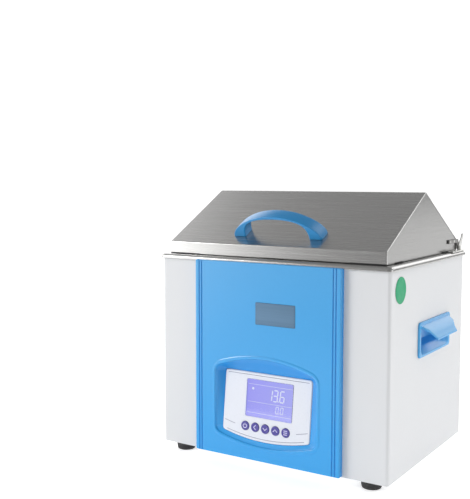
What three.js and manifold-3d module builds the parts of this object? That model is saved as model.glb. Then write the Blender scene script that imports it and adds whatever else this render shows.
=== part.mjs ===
// Laboratory water bath: a painted steel cabinet around a stainless tank, with a gabled stainless lid
// hinged along the back, a moulded blue control panel in front and a hooded grip on each side.
//
// Millimetres. +Z is up, +X is to the right of somebody facing the controls, the front faces -Y.
// Everything is drawn from the cabinet's underside (z = 0, the middle of its footprint), and the whole
// bath is then moved so that the origin lies on the floor under the middle of its bounding box.

import * as THREE from 'three';
import { mergeVertices } from 'three/addons/utils/BufferGeometryUtils.js';
import Module from 'manifold-3d';

const wasm = await Module();
wasm.setup();

// ---------------------------------------------------------------- driving dimensions

const GAP = 0.3; // clearance between pieces that touch

const CABINET = { width: 390, depth: 310, height: 300, corner: 5, sheet: 1.5, insideDeck: 5 };
const CABINET_CUTS = {
  controls: { halfWidth: 89, z: [16, 150] },
  service: { halfWidth: 178, z: [18, 282] },
  pocket: { halfDepth: 60.5, below: 21.5, above: 19.5 },
};
const FOOT = {
  height: 12, topRadius: 16, baseRadius: 14, studRadius: 2.5, studHeight: 8, insetX: 32, insetY: 18,
};
const BASE_SLOT = { count: 6, pitch: 30, width: 6, length: 100 };
const REAR = { width: 376, height: 284, corner: 3, screwX: 182, screwZ: [30, 270], screwHole: 2.3 };
const DECK = { overhang: 4, height: 7, corner: 8, sheet: 1.5, edge: 3 };
const TANK = { width: 300, depth: 240, height: 150, corner: 25, sheet: 1.2, flange: 16, floorRadius: 12 };
const INSULATION = { inner: 2, outer: 12, aboveFloor: 12, belowDeck: 3 };
const LID = { width: 371, depth: 294, lift: 0.6, fascia: 18.8, rise: 79.5, sheet: 1.2 };
const PAD = { seat: 1.5, leg: 1.2, inside: 5, lip: 0.6, lipHeight: 0.5 }; // seat: above the deck
const PAD_PLACES = { front: [130, 184], side: [-115, -89], rear: [80, 114] };
const BAR = { spread: 76, span: 55, height: 36.5, clear: 31.5, width: 22, along: 22 };
const PANEL = { width: 250, bottom: 0.5, top: 301.5, proud: 9.1, skin: 3, edge: 1.5 };
const PANEL_GROOVE = { first: 113, second: 117.5, width: 2, depth: 1.6 };
const NAMEPLATE = { width: 67, height: 33, x: 18.5, z: 226.3, thickness: 0.9, proud: 0.5, corner: 1 };
const SCOOP = { half: 87.5, topEdge: 138.5, topMiddle: 157, bottomEdge: 38, bottomMiddle: 23.6, corner: 9 };
const SCOOP_RIM = { width: 5.5, proud: 0.9 };
const BEZEL = {
  half: 75.5, top: 134, bottomEdge: 41, bottomMiddle: 31, corner: 4.5, thickness: 3.2, edge: 0.8,
};
const BEZEL_DEPTH = { bottom: 1, top: 12, step: 1.2 }; // behind the panel's front face
const DISPLAY = { width: 81, height: 57, x: 4.5, z: 95.5, proud: 0.8, window: 2.2, module: 2.5 };
const BUTTON = { radius: 6.75, pitch: 17.6, x: 0.3, z: 51.7, proud: 1.2, travel: 1 };
const GRIP = { width: 134, height: 53.5, y: 17, z: 187.8, plate: 3, reach: 23, pocket: 20 };
const POCKET = { halfDepth: 61.5, below: 22.5, above: 17, ramp: 9, wall: 2 };
const GRIP_TRAY = { halfDepth: 60, below: 21, above: 19 };
const LABEL = { radius: 19.2, y: -120, z: 271, thickness: 0.3 };
const PIVOT = { y: 152, z: 312.5, pinRadius: 2, ear: 4.5 };
const STRAP = { front: 104, knee: 141, low: 320.5, high: 326.5, thickness: 1.5 };
const BRACKET = { front: 95, rear: 157.5, outerX: 197.5, thickness: 1.5, screwX: 194, screwY: [101, 115] };
const SHELF = {
  width: 288, depth: 228, height: 28, sheet: 1.5, corner: 22, holeRadius: 9, pitch: 37, columns: 7, rows: 5,
};
const SHELF_LEG = { y: 100, halfWidth: 115 };
const HEATER = { radius: 4, bend: 45, end: 100, height: 17, tail: 18 };
const SENSOR = { radius: 2.5, y: 80, length: 55, tail: 15 };
const THERMOSTAT = { x: -40, radius: 12, bodyRadius: 8, height: 12, flange: 4 };
const CONTROL_BOARD = { x: [-66, 66], z: [46, 128], back: -11.7, face: -10.1, keyTop: -9.2 };
const TRANSFORMER = { x: [60, 125], y: [-60, -10], height: 48 };
const COIL = { x: [70, 115], y: [-72, 2], z: [8, 40] };
const RELAY_BOARD = { x: [-130, -30], y: [-70, 20], above: 6, thickness: 1.6, pillar: 3, pillarInset: 5 };
const DRAIN = { x: 110, y: 80, z: 95, pipeRadius: 8, boreRadius: 6, bend: 26, reach: 30 };
const VENT = { width: 26, height: 5, pitchX: 36, pitchZ: 13, columns: 8, rows: 3, z: 235 };
const SWITCH = { x: -70, z: 62, width: 22, height: 30, bodyWidth: 19, bodyHeight: 27, tilt: 8 };
const ROCKER = { halfWidth: 6.7, halfHeight: 10.6, proud: 3.2, waist: 1.8, heel: 4 };
const INLET = { x: -120, z: 62, width: 50, height: 24, bodyWidth: 28, bodyHeight: 20 };
const INLET_PIN = { halfWidth: 1, halfHeight: 2, places: [[-7, -1.5], [0, 3], [7, -1.5]] };
const VALVE = {
  nut: 13, nutLength: 6, body: 10, spout: 7, bore: 4.5, stem: 5, stemHeight: 13, stemInset: 16,
};
const LEVER = { length: 46, width: 9, thickness: 3, corner: 4, middle: 17 };
const SLEEVE = { length: 28, width: 11, corner: 5, middle: 27, below: 1, above: 4.5 };

const BUTTON_NAMES = ['button_power', 'button_back', 'button_down', 'button_up', 'button_set'];

// ---------------------------------------------------------------- heights and places worked out from them

const wallX = CABINET.width / 2;
const wallY = CABINET.depth / 2;
const deckTop = CABINET.height + DECK.height;
const deckUnder = deckTop - DECK.sheet;
const tankFloor = deckTop - TANK.height;
const lidBottom = deckTop + LID.lift;
const padSeat = deckTop + PAD.seat;
const eave = lidBottom + LID.fascia;
const ridge = eave + LID.rise;
const slope = Math.atan2(LID.rise, LID.depth / 2);
const panelFront = -wallY - PANEL.proud;
const panelBack = -wallY - GAP;
const rearFace = wallY + GAP + CABINET.sheet;
const bezelRise = BEZEL.top - BEZEL.bottomMiddle;
const bezelTilt = Math.atan2(BEZEL_DEPTH.top - BEZEL_DEPTH.bottom, bezelRise);
const heaterZ = tankFloor + HEATER.height;
const throughRear = [wallY - 10, wallY + 10];
const frontReach = wallY + PANEL.proud + Math.max(NAMEPLATE.proud, SCOOP_RIM.proud);
const rearReach = wallY + DRAIN.reach;
const stemY = rearReach - VALVE.stemInset;

// ---------------------------------------------------------------- finishes: colour, roughness, metalness

const FINISH = {
  whitePaint: [0xe2e3e6, 0.45, 0],
  stainless: [0xa9a9a8, 0.35, 1],
  bluePlastic: [0x5aa9ea, 0.4, 0],
  whitePlastic: [0xe9edf4, 0.4, 0],
  display: [0xaaa2fa, 0.15, 0],
  clearPlastic: [0xd8dcff, 0.05, 0],
  buttonPlastic: [0x50489a, 0.4, 0],
  circuitBoard: [0x2f6b46, 0.6, 0],
  badge: [0x60809a, 0.4, 0.8],
  greenLabel: [0x3caf82, 0.5, 0],
  blackRubber: [0x2b2a2c, 0.85, 0],
  darkSteel: [0x5c5b58, 0.45, 1],
  blackPlastic: [0x222326, 0.5, 0],
  glassWool: [0xd9c98c, 0.95, 0],
  brass: [0xb8923f, 0.35, 1],
  copper: [0xb06a3c, 0.5, 1],
  redPlastic: [0xb8352f, 0.4, 0],
};

// ---------------------------------------------------------------- solids

function solidOf(geometry) {
  const bare = geometry.clone();
  bare.deleteAttribute('normal');
  bare.deleteAttribute('uv');
  const merged = mergeVertices(bare);
  return new wasm.Manifold(new wasm.Mesh({
    numProp: 3,
    vertProperties: new Float32Array(merged.attributes.position.array),
    triVerts: new Uint32Array(merged.index.array),
  }));
}

function geometryOf(solid) {
  const mesh = solid.getMesh();
  const geometry = new THREE.BufferGeometry();
  geometry.setAttribute('position', new THREE.BufferAttribute(mesh.vertProperties, 3));
  geometry.setIndex(new THREE.BufferAttribute(mesh.triVerts, 1));
  geometry.computeVertexNormals();
  return geometry;
}

function join(...pieces) {
  return geometryOf(pieces.map(solidOf).reduce((sum, piece) => sum.add(piece)));
}

function cut(body, ...tools) {
  return geometryOf(tools.map(solidOf).reduce((rest, tool) => rest.subtract(tool), solidOf(body)));
}

function mirrored(geometry) {
  const copy = geometryOf(solidOf(geometry)).scale(-1, 1, 1);
  const index = copy.index.array;
  for (let corner = 0; corner < index.length; corner += 3) {
    const first = index[corner];
    index[corner] = index[corner + 1];
    index[corner + 1] = first;
  }
  copy.computeVertexNormals();
  return copy;
}

function block(x, y, z) {
  const middle = ([low, high]) => (low + high) / 2;
  const size = ([low, high]) => high - low;
  return new THREE.BoxGeometry(size(x), size(y), size(z)).translate(middle(x), middle(y), middle(z));
}

// A round bar between two places along one axis: 'x', 'y' or 'z'.
function rod(radius, axis, [low, high], centre, sides = 16) {
  const bar = new THREE.CylinderGeometry(radius, radius, high - low, sides);
  const along = (low + high) / 2;
  if (axis === 'x') {
    return bar.rotateZ(Math.PI / 2).translate(along, centre[0], centre[1]);
  }
  if (axis === 'y') {
    return bar.translate(centre[0], along, centre[1]);
  }
  return bar.rotateX(Math.PI / 2).translate(centre[0], centre[1], along);
}

// A turned piece about the Z axis, from [radius, z] pairs.
function turned(profile, sides = 16) {
  const points = profile.map(([radius, z]) => new THREE.Vector2(radius, z));
  return new THREE.LatheGeometry(points, sides).rotateX(Math.PI / 2);
}

function roundedRectangle(width, height, radius, centreX = 0, centreY = 0) {
  const right = width / 2 - radius;
  const top = height / 2 - radius;
  const shape = new THREE.Shape();
  shape.absarc(centreX + right, centreY - top, radius, -Math.PI / 2, 0);
  shape.absarc(centreX + right, centreY + top, radius, 0, Math.PI / 2);
  shape.absarc(centreX - right, centreY + top, radius, Math.PI / 2, Math.PI);
  shape.absarc(centreX - right, centreY - top, radius, Math.PI, Math.PI * 1.5);
  return shape;
}

function polygon(points) {
  return new THREE.Shape(points.map(([x, y]) => new THREE.Vector2(x, y)));
}

function slab(shape, low, high, curveSegments = 4) {
  const options = { depth: high - low, curveSegments, bevelEnabled: false };
  return new THREE.ExtrudeGeometry(shape, options).translate(0, 0, low);
}

// A slab whose upper edge is rounded over by `edge`, inside the shape's own outline.
function softSlab(shape, low, high, edge, curveSegments = 4) {
  const options = {
    depth: high - low,
    curveSegments,
    bevelThickness: edge,
    bevelSize: edge,
    bevelOffset: -edge,
    bevelSegments: 2,
  };
  const middle = new THREE.ExtrudeGeometry(shape, options).translate(0, 0, low - edge);
  const reach = 1000;
  return cut(middle, block([-reach, reach], [-reach, reach], [low - reach, low]));
}

// Drawings made in the XY plane, stood up so that they face the front (-Y) or the right (+X).
function facingFront(geometry) {
  return geometry.rotateX(Math.PI / 2);
}

function facingRight(geometry) {
  return geometry.rotateX(Math.PI / 2).rotateZ(Math.PI / 2);
}

// A closed skin through rings of points that all have the same count, capped at both ends.
function loft(rings) {
  const count = rings[0].length;
  const flat = rings[0].map((point) => new THREE.Vector2(point.x, point.z));
  const caps = THREE.ShapeUtils.triangulateShape(flat, []);
  const last = (rings.length - 1) * count;
  const index = [];
  for (const [a, b, c] of caps) {
    index.push(a, b, c, last + a, last + c, last + b);
  }
  for (let ring = 0; ring < rings.length - 1; ring += 1) {
    for (let corner = 0; corner < count; corner += 1) {
      const here = ring * count + corner;
      const next = ring * count + ((corner + 1) % count);
      index.push(here, here + count, next, next, here + count, next + count);
    }
  }
  const geometry = new THREE.BufferGeometry().setFromPoints(rings.flat());
  geometry.setIndex(index);
  return geometry;
}

// ---------------------------------------------------------------- cabinet

function cabinetShell() {
  const outer = roundedRectangle(CABINET.width, CABINET.depth, CABINET.corner);
  const inside = 2 * CABINET.sheet;
  outer.holes.push(roundedRectangle(
    CABINET.width - inside, CABINET.depth - inside, CABINET.corner - CABINET.sheet,
  ));
  const walls = slab(outer, 0, CABINET.height + CABINET.insideDeck);
  const { controls, service, pocket } = CABINET_CUTS;
  return cut(
    walls,
    block([-controls.halfWidth, controls.halfWidth], [-wallY - 10, -wallY + 10], controls.z),
    block([-service.halfWidth, service.halfWidth], throughRear, service.z),
    block(
      [-wallX - 10, wallX + 10],
      [GRIP.y - pocket.halfDepth, GRIP.y + pocket.halfDepth],
      [GRIP.z - pocket.below, GRIP.z + pocket.above],
    ),
    ...rearScrewHoles(),
  );
}

function rearScrewHoles() {
  return screwPlaces().map((place) => rod(REAR.screwHole, 'y', throughRear, place, 10));
}

function screwPlaces() {
  const places = [];
  for (const x of [-REAR.screwX, REAR.screwX]) {
    for (const z of REAR.screwZ) {
      places.push([x, z]);
    }
  }
  return places;
}

function basePlate() {
  const inside = 2 * (CABINET.sheet + GAP);
  const corner = CABINET.corner - CABINET.sheet - GAP;
  const plan = roundedRectangle(CABINET.width - inside, CABINET.depth - inside, corner);
  const plate = slab(plan, GAP, GAP + CABINET.sheet);
  const through = [-5, 5];
  const cuts = footPlaces().map((place) => rod(FOOT.studRadius + GAP, 'z', through, place, 12));
  const { count, pitch, width, length } = BASE_SLOT;
  for (let slot = 0; slot < count; slot += 1) {
    const x = (slot - (count - 1) / 2) * pitch;
    cuts.push(block([x - width / 2, x + width / 2], [-length / 2, length / 2], through));
  }
  return cut(plate, ...cuts);
}

function footPlaces() {
  const x = wallX - FOOT.insetX;
  const y = wallY - FOOT.insetY;
  return [[-x, -y], [x, -y], [-x, y], [x, y]];
}

function foot([x, y]) {
  return turned([
    [0, -FOOT.height],
    [FOOT.baseRadius - 1.5, -FOOT.height],
    [FOOT.baseRadius, -FOOT.height + 1.5],
    [FOOT.topRadius, -2],
    [FOOT.topRadius, 0],
    [FOOT.studRadius, 0],
    [FOOT.studRadius, FOOT.studHeight],
    [0, FOOT.studHeight],
  ]).translate(x, y, 0);
}

function rearPanel() {
  const outline = roundedRectangle(REAR.width, REAR.height, REAR.corner, 0, CABINET.height / 2);
  const plate = slab(outline, -rearFace, -rearFace + CABINET.sheet);
  const cuts = rearScrewHoles();
  for (let row = 0; row < VENT.rows; row += 1) {
    for (let column = 0; column < VENT.columns; column += 1) {
      const x = (column - (VENT.columns - 1) / 2) * VENT.pitchX;
      const z = VENT.z - row * VENT.pitchZ;
      const width = [x - VENT.width / 2, x + VENT.width / 2];
      cuts.push(block(width, throughRear, [z - VENT.height / 2, z + VENT.height / 2]));
    }
  }
  cuts.push(rod(DRAIN.pipeRadius + GAP, 'y', throughRear, [DRAIN.x, DRAIN.z]));
  cuts.push(bodyOf(SWITCH, throughRear, GAP));
  cuts.push(bodyOf(INLET, throughRear, GAP));
  return cut(facingFront(plate), ...cuts);
}

// The part of an inlet or a switch that passes through the rear panel.
function bodyOf({ x, z, bodyWidth, bodyHeight }, y, grow = 0) {
  const halfWidth = bodyWidth / 2 + grow;
  const halfHeight = bodyHeight / 2 + grow;
  return block([x - halfWidth, x + halfWidth], y, [z - halfHeight, z + halfHeight]);
}

function rearScrew([x, z]) {
  const screw = turned([[0, -7], [1.9, -7], [1.9, 0], [3.8, 0], [3.8, 1.2], [2.6, 2.2], [0, 2.2]], 10);
  return screw.rotateX(-Math.PI / 2).translate(x, rearFace + GAP, z);
}

// ---------------------------------------------------------------- deck and tank

function deckRim() {
  const width = CABINET.width + 2 * DECK.overhang;
  const depth = CABINET.depth + 2 * DECK.overhang;
  const inside = 2 * DECK.sheet;
  const top = softSlab(roundedRectangle(width, depth, DECK.corner), CABINET.height, deckTop, DECK.edge);
  const under = roundedRectangle(width - inside, depth - inside, DECK.corner - DECK.sheet);
  return cut(
    top,
    slab(under, CABINET.height - 1, deckUnder),
    slab(roundedRectangle(TANK.width, TANK.depth, TANK.corner), CABINET.height, deckTop + 1, 6),
  );
}

function tank() {
  const rim = deckUnder - GAP;
  const sheet = TANK.sheet;
  const tub = (grow, low, high, radius) => {
    const plan = roundedRectangle(TANK.width + 2 * grow, TANK.depth + 2 * grow, TANK.corner + grow);
    return softSlab(plan, -high, -low, radius, 6).rotateX(Math.PI);
  };
  const flange = roundedRectangle(
    TANK.width + 2 * TANK.flange, TANK.depth + 2 * TANK.flange, TANK.corner + TANK.flange,
  );
  const body = join(
    tub(sheet, tankFloor - sheet, rim, TANK.floorRadius),
    slab(flange, rim - sheet, rim),
  );
  const wall = [-TANK.width / 2 - 5, -TANK.width / 2 + 5];
  return cut(
    body,
    tub(0, tankFloor, rim + 1, TANK.floorRadius - sheet),
    rod(HEATER.radius + GAP, 'x', wall, [-HEATER.bend, heaterZ]),
    rod(HEATER.radius + GAP, 'x', wall, [HEATER.bend, heaterZ]),
    rod(SENSOR.radius + GAP, 'x', wall, [SENSOR.y, heaterZ], 14),
    rod(DRAIN.boreRadius, 'z', [tankFloor - 5, tankFloor + 5], [DRAIN.x, DRAIN.y]),
  );
}

function insulation() {
  const { inner, outer, aboveFloor, belowDeck } = INSULATION;
  const around = (grow) => roundedRectangle(TANK.width + 2 * grow, TANK.depth + 2 * grow, TANK.corner + grow);
  const wrap = around(outer);
  wrap.holes.push(around(inner));
  const jacket = slab(wrap, tankFloor + aboveFloor, deckUnder - belowDeck);
  return cut(jacket, block([-170, -145], [-60, 96], [tankFloor, tankFloor + 30]));
}

function perforatedShelf() {
  const low = tankFloor + SHELF.height;
  const plate = slab(roundedRectangle(SHELF.width, SHELF.depth, SHELF.corner), low, low + SHELF.sheet);
  const legWidth = [-SHELF_LEG.halfWidth, SHELF_LEG.halfWidth];
  const legs = [-SHELF_LEG.y, SHELF_LEG.y - SHELF.sheet].map((y) => (
    block(legWidth, [y, y + SHELF.sheet], [tankFloor + GAP, low + SHELF.sheet / 2])
  ));
  const holes = [];
  for (let column = 0; column < SHELF.columns; column += 1) {
    for (let row = 0; row < SHELF.rows; row += 1) {
      const x = (column - (SHELF.columns - 1) / 2) * SHELF.pitch;
      const y = (row - (SHELF.rows - 1) / 2) * SHELF.pitch;
      holes.push(rod(SHELF.holeRadius, 'z', [low - 1, low + SHELF.sheet + 1], [x, y], 10));
    }
  }
  return cut(join(plate, ...legs), ...holes);
}

class HalfTurn extends THREE.Curve {
  getPoint(t) {
    const angle = -Math.PI / 2 + t * Math.PI;
    return new THREE.Vector3(HEATER.bend * Math.cos(angle), HEATER.bend * Math.sin(angle), 0);
  }
}

function heaterElement() {
  const section = new THREE.Shape().absarc(0, 0, HEATER.radius, 0, Math.PI * 2);
  const options = { extrudePath: new HalfTurn(), steps: 10, curveSegments: 5, bevelEnabled: false };
  const bend = new THREE.ExtrudeGeometry(section, options).translate(HEATER.end, 0, heaterZ);
  const legs = [-HEATER.bend, HEATER.bend].map((y) => (
    rod(HEATER.radius, 'x', [-TANK.width / 2 - HEATER.tail, HEATER.end + 0.4], [y, heaterZ], 12)
  ));
  return join(bend, ...legs);
}

function wallNut(y, hole, across) {
  const wall = -TANK.width / 2 - TANK.sheet - GAP;
  const nut = rod(across / 2, 'x', [wall - 5, wall], [y, heaterZ], 6);
  return cut(nut, rod(hole, 'x', [wall - 6, wall + 1], [y, heaterZ], 14));
}

function temperatureSensor() {
  const start = -TANK.width / 2 - SENSOR.tail;
  return rod(SENSOR.radius, 'x', [start, start + SENSOR.length], [SENSOR.y, heaterZ], 14);
}

function cutOutThermostat() {
  const under = tankFloor - TANK.sheet - GAP;
  const { x, radius, bodyRadius, height, flange } = THERMOSTAT;
  const disc = turned([
    [0, -height],
    [bodyRadius, -height],
    [bodyRadius, -flange],
    [radius, 1 - flange],
    [radius, 0],
    [0, 0],
  ]).translate(x, 0, under);
  const tags = [x - 6, x + 4].map((left) => (
    block([left, left + 2], [-3, 3], [under - height - 8, under - height + 1])
  ));
  return join(disc, ...tags);
}

// ---------------------------------------------------------------- lid

// The gable seen from the side, shrunk by `inset` and dropped by `below` at its open foot.
function gable(inset, below) {
  const half = LID.depth / 2 - inset;
  const drop = inset / Math.cos(slope);
  const shoulder = eave + inset * Math.tan(slope) - drop;
  return polygon([
    [-half, lidBottom - below],
    [half, lidBottom - below],
    [half, shoulder],
    [0, ridge - drop],
    [-half, shoulder],
  ]);
}

function lidShell() {
  const half = LID.width / 2;
  const outer = facingRight(slab(gable(0, 0), -half, half));
  const inner = facingRight(slab(gable(LID.sheet, 1), -half + LID.sheet, half - LID.sheet));
  const screwHoles = handleScrewPlaces().map((x) => (
    onSlope(rod(2.3, 'z', [-5, 5], [x, BAR.along + BAR.width / 2], 12))
  ));
  return cut(outer, inner, ...screwHoles, ...padNotches());
}

// Shallow notches in the lid's lower edge, where the rubber pads are pushed on.
function padNotches() {
  const wall = 5;
  const height = [lidBottom - 1, padSeat];
  const widened = ([from, to]) => [from - GAP, to + GAP];
  const mirroredSpan = ([from, to]) => [-to, -from];
  const front = [-LID.depth / 2 - 1, -LID.depth / 2 + wall];
  const end = [LID.width / 2 - wall, LID.width / 2 + 1];
  const along = widened(PAD_PLACES.front);
  const notches = [block(along, front, height), block(mirroredSpan(along), front, height)];
  for (const place of [PAD_PLACES.side, PAD_PLACES.rear]) {
    notches.push(block(end, widened(place), height), block(mirroredSpan(end), widened(place), height));
  }
  return notches;
}

// Pieces drawn flat, x across and y up the slope from the eave, laid on the lid's front slope.
function onSlope(geometry) {
  return geometry.rotateX(slope).translate(0, -LID.depth / 2, eave);
}

function handleScrewPlaces() {
  const foot = (BAR.spread + BAR.span) / 2;
  return [-foot, foot];
}

function lidHandle() {
  const { spread, span, height, clear } = BAR;
  const arch = new THREE.Shape();
  arch.moveTo(-spread, 0);
  arch.bezierCurveTo(-spread, height * 0.4, -spread * 0.55, height, 0, height);
  arch.bezierCurveTo(spread * 0.55, height, spread, height * 0.4, spread, 0);
  arch.lineTo(span, 0);
  arch.bezierCurveTo(span, clear * 0.57, span * 0.9, clear, 0, clear);
  arch.bezierCurveTo(-span * 0.9, clear, -span, clear * 0.57, -span, 0);
  const bar = facingFront(slab(arch, -BAR.width / 2, BAR.width / 2, 10));
  const holes = handleScrewPlaces().map((x) => rod(1.9, 'z', [-5, 9], [x, 0], 12));
  return onSlope(cut(bar, ...holes).translate(0, BAR.along + BAR.width / 2, GAP));
}

function handleScrew(x) {
  const head = -LID.sheet - GAP;
  const screw = turned([
    [0, head - 2.4],
    [2.6, head - 2.4],
    [4, head - 1.2],
    [4, head],
    [1.6, head],
    [1.6, 8],
    [0, 8],
  ], 10);
  return onSlope(screw.translate(x, BAR.along + BAR.width / 2, 0));
}

// A rubber channel pushed up over the lid's lower edge. Drawn in section, with u outwards from the
// wall's outer face: a tall leg inside the wall, a sole under it and a low lip outside.
function padSection() {
  const inner = -LID.sheet - GAP;
  const sole = padSeat - GAP;
  return polygon([
    [inner - PAD.leg, deckTop + GAP],
    [GAP + PAD.lip, deckTop + GAP],
    [GAP + PAD.lip, padSeat + PAD.lipHeight],
    [GAP, padSeat + PAD.lipHeight],
    [GAP, sole],
    [inner, sole],
    [inner, padSeat + PAD.inside],
    [inner - PAD.leg, padSeat + PAD.inside],
  ]);
}

function frontPad() {
  const [near, far] = PAD_PLACES.front;
  return facingRight(slab(padSection(), near, far)).rotateZ(Math.PI).translate(near + far, -LID.depth / 2, 0);
}

function endPad([front, rear]) {
  return facingFront(slab(padSection(), -rear, -front)).translate(LID.width / 2, 0, 0);
}

// ---------------------------------------------------------------- hinge, drawn for the right end

const strapX = [LID.width / 2 + GAP, LID.width / 2 + GAP + STRAP.thickness];
const earX = [strapX[1] + GAP, strapX[1] + GAP + BRACKET.thickness];
const pivotHole = rod(PIVOT.pinRadius + GAP, 'x', [strapX[0] - 5, earX[1] + 5], [PIVOT.y, PIVOT.z]);

function hingeStrap() {
  const blade = polygon([
    [STRAP.front, STRAP.low],
    [STRAP.knee, STRAP.low],
    [PIVOT.y - PIVOT.ear * 0.9, PIVOT.z - 1.5],
    [PIVOT.y + PIVOT.ear * 0.8, PIVOT.z + 2],
    [STRAP.knee + 8, STRAP.high],
    [STRAP.front, STRAP.high],
  ]);
  const body = join(
    facingRight(slab(blade, ...strapX)),
    rod(PIVOT.ear, 'x', strapX, [PIVOT.y, PIVOT.z]),
  );
  return cut(body, pivotHole);
}

// A foot screwed to the deck, and an upright that carries the pivot and ends in a raised, leaning tip
// with a stop turned in towards the lid.
function hingeBracket() {
  const foot = deckTop + GAP;
  const ear = polygon([
    [146.5, foot],
    [157.5, foot],
    [162.5, 317],
    [171, 331],
    [167.5, 334.8],
    [159.5, 327],
    [150, 319],
    [146.5, 314],
  ]);
  const stop = polygon([[168, 328], [169.2, 328], [171, 331], [168.3, 333.6]]);
  const body = join(
    facingRight(slab(ear, ...earX)),
    facingRight(slab(stop, strapX[0], earX[1])),
    block([earX[0], BRACKET.outerX], [BRACKET.front, BRACKET.rear], [foot, foot + BRACKET.thickness]),
  );
  const screws = BRACKET.screwY.map((y) => rod(1.8, 'z', [foot - 1, foot + 3], [BRACKET.screwX, y], 12));
  return cut(body, pivotHole, ...screws);
}

function hingePin() {
  const inner = strapX[0] - GAP;
  const outer = earX[1] + GAP;
  const radius = PIVOT.pinRadius;
  const pin = turned([
    [0, inner - 1.2],
    [3.4, inner - 1.2],
    [3.4, inner],
    [radius, inner],
    [radius, outer],
    [3.6, outer],
    [3.6, outer + 1],
    [2.6, outer + 1.8],
    [0, outer + 1.8],
  ], 12);
  return pin.rotateY(Math.PI / 2).translate(0, PIVOT.y, PIVOT.z);
}

// ---------------------------------------------------------------- control panel

// The outline of the controls: straight sides, rounded corners, and a bowed top and bottom.
function controlOutline(half, topEdge, topMiddle, bottomEdge, bottomMiddle, corner) {
  const reach = half - corner;
  const bow = (edge, middle) => middle + (edge - middle) * (reach / half) ** 2;
  const top = bow(topEdge, topMiddle);
  const bottom = bow(bottomEdge, bottomMiddle);
  const shape = new THREE.Shape();
  shape.moveTo(-reach, bottom);
  shape.quadraticCurveTo(0, 2 * bottomMiddle - bottom, reach, bottom);
  shape.quadraticCurveTo(half, bottomEdge, half, bottomEdge + corner);
  shape.lineTo(half, topEdge - corner);
  shape.quadraticCurveTo(half, topEdge, reach, top);
  shape.quadraticCurveTo(0, 2 * topMiddle - top, -reach, top);
  shape.quadraticCurveTo(-half, topEdge, -half, topEdge - corner);
  shape.lineTo(-half, bottomEdge + corner);
  shape.quadraticCurveTo(-half, bottomEdge, -reach, bottom);
  return shape;
}

// The bezel's outline in panel heights, grown outwards by `grow`.
function bezelOutline(grow) {
  return controlOutline(
    BEZEL.half + grow,
    BEZEL.top + grow,
    BEZEL.top + grow,
    BEZEL.bottomEdge - grow,
    BEZEL.bottomMiddle - grow,
    BEZEL.corner + grow,
  );
}

// Pieces drawn in panel heights, facing +Z from the bezel's face, leaned back onto the bezel's plane.
function onBezel(geometry) {
  return geometry
    .translate(0, -BEZEL.bottomMiddle, 0)
    .rotateX(Math.PI / 2 - bezelTilt)
    .translate(0, panelFront + BEZEL_DEPTH.bottom, BEZEL.bottomMiddle);
}

// The recess's mouth on the panel's face, grown outwards by `grow`.
function scoopOutline(grow) {
  return controlOutline(
    SCOOP.half + grow,
    SCOOP.topEdge + grow,
    SCOOP.topMiddle + grow,
    SCOOP.bottomEdge - grow,
    SCOOP.bottomMiddle - grow,
    SCOOP.corner + grow,
  );
}

function scoopCut() {
  const mouth = scoopOutline(0);
  const seat = bezelOutline(GAP);
  const segments = 8;
  const ring = (shape, depthAt) => shape.getPoints(segments).slice(0, -1).map((point) => (
    new THREE.Vector3(point.x, depthAt(point.y), point.y)
  ));
  const floorAt = (z) => {
    const depth = BEZEL_DEPTH.bottom + (z - BEZEL.bottomMiddle) * Math.tan(bezelTilt);
    return panelFront + depth + BEZEL_DEPTH.step;
  };
  return loft([
    ring(mouth, () => panelFront - 10),
    ring(mouth, () => panelFront),
    ring(seat, floorAt),
  ]);
}

function frontPanel() {
  const height = PANEL.top - PANEL.bottom;
  const middle = (PANEL.top + PANEL.bottom) / 2;
  const skin = PANEL.skin;
  const face = facingFront(softSlab(
    roundedRectangle(PANEL.width, height, 2, 0, middle), -panelBack, -panelFront, PANEL.edge,
  ));
  const hollowPlan = roundedRectangle(PANEL.width - 2 * skin, height - 2 * skin, 2, 0, middle);
  const hollow = facingFront(slab(hollowPlan, -panelBack - 1, -panelFront - skin));
  const rim = softSlab(
    scoopOutline(SCOOP_RIM.width), -panelFront - 1, -panelFront + SCOOP_RIM.proud, SCOOP_RIM.proud, 6,
  );
  const housing = join(
    facingFront(rim),
    facingFront(slab(scoopOutline(skin), -panelBack, -panelFront - 1, 6)),
    facingFront(slab(bezelOutline(9), -panelBack - 10, -panelFront - 1)),
  );
  const cuts = [
    scoopCut(),
    onBezel(slab(bezelOutline(GAP), -BEZEL.thickness - GAP, 30, 6)),
    onBezel(slab(bezelOutline(-4), -40, 30)),
    block([-130, 130], [panelBack - 4.6, panelBack + 1], [CABINET.height - 0.6, PANEL.top + 1]),
    namePlate(GAP),
  ];
  for (const x of [PANEL_GROOVE.first, PANEL_GROOVE.second]) {
    for (const side of [-x, x]) {
      const width = [side - PANEL_GROOVE.width / 2, side + PANEL_GROOVE.width / 2];
      cuts.push(block(width, [panelFront - 1, panelFront + PANEL_GROOVE.depth], [-1, PANEL.top + 1]));
    }
  }
  return cut(join(cut(face, hollow), housing), ...cuts);
}

function namePlate(grow) {
  const { width, height, x, z, corner } = NAMEPLATE;
  const outline = roundedRectangle(width + 2 * grow, height + 2 * grow, corner + grow, x, z);
  const front = -panelFront + NAMEPLATE.proud;
  return facingFront(slab(outline, front - NAMEPLATE.thickness - grow, front + grow));
}

function controlBezel() {
  const face = softSlab(bezelOutline(0), -BEZEL.thickness, 0, BEZEL.edge, 6);
  const { width, height, x, z } = DISPLAY;
  const through = [-10, 10];
  const window = slab(roundedRectangle(width, height, 2, x, z), ...through);
  const radius = BUTTON.radius + GAP;
  const holes = buttonPlaces().map((place) => rod(radius, 'z', through, [place, BUTTON.z], 18));
  return onBezel(cut(face, window, ...holes));
}

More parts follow.
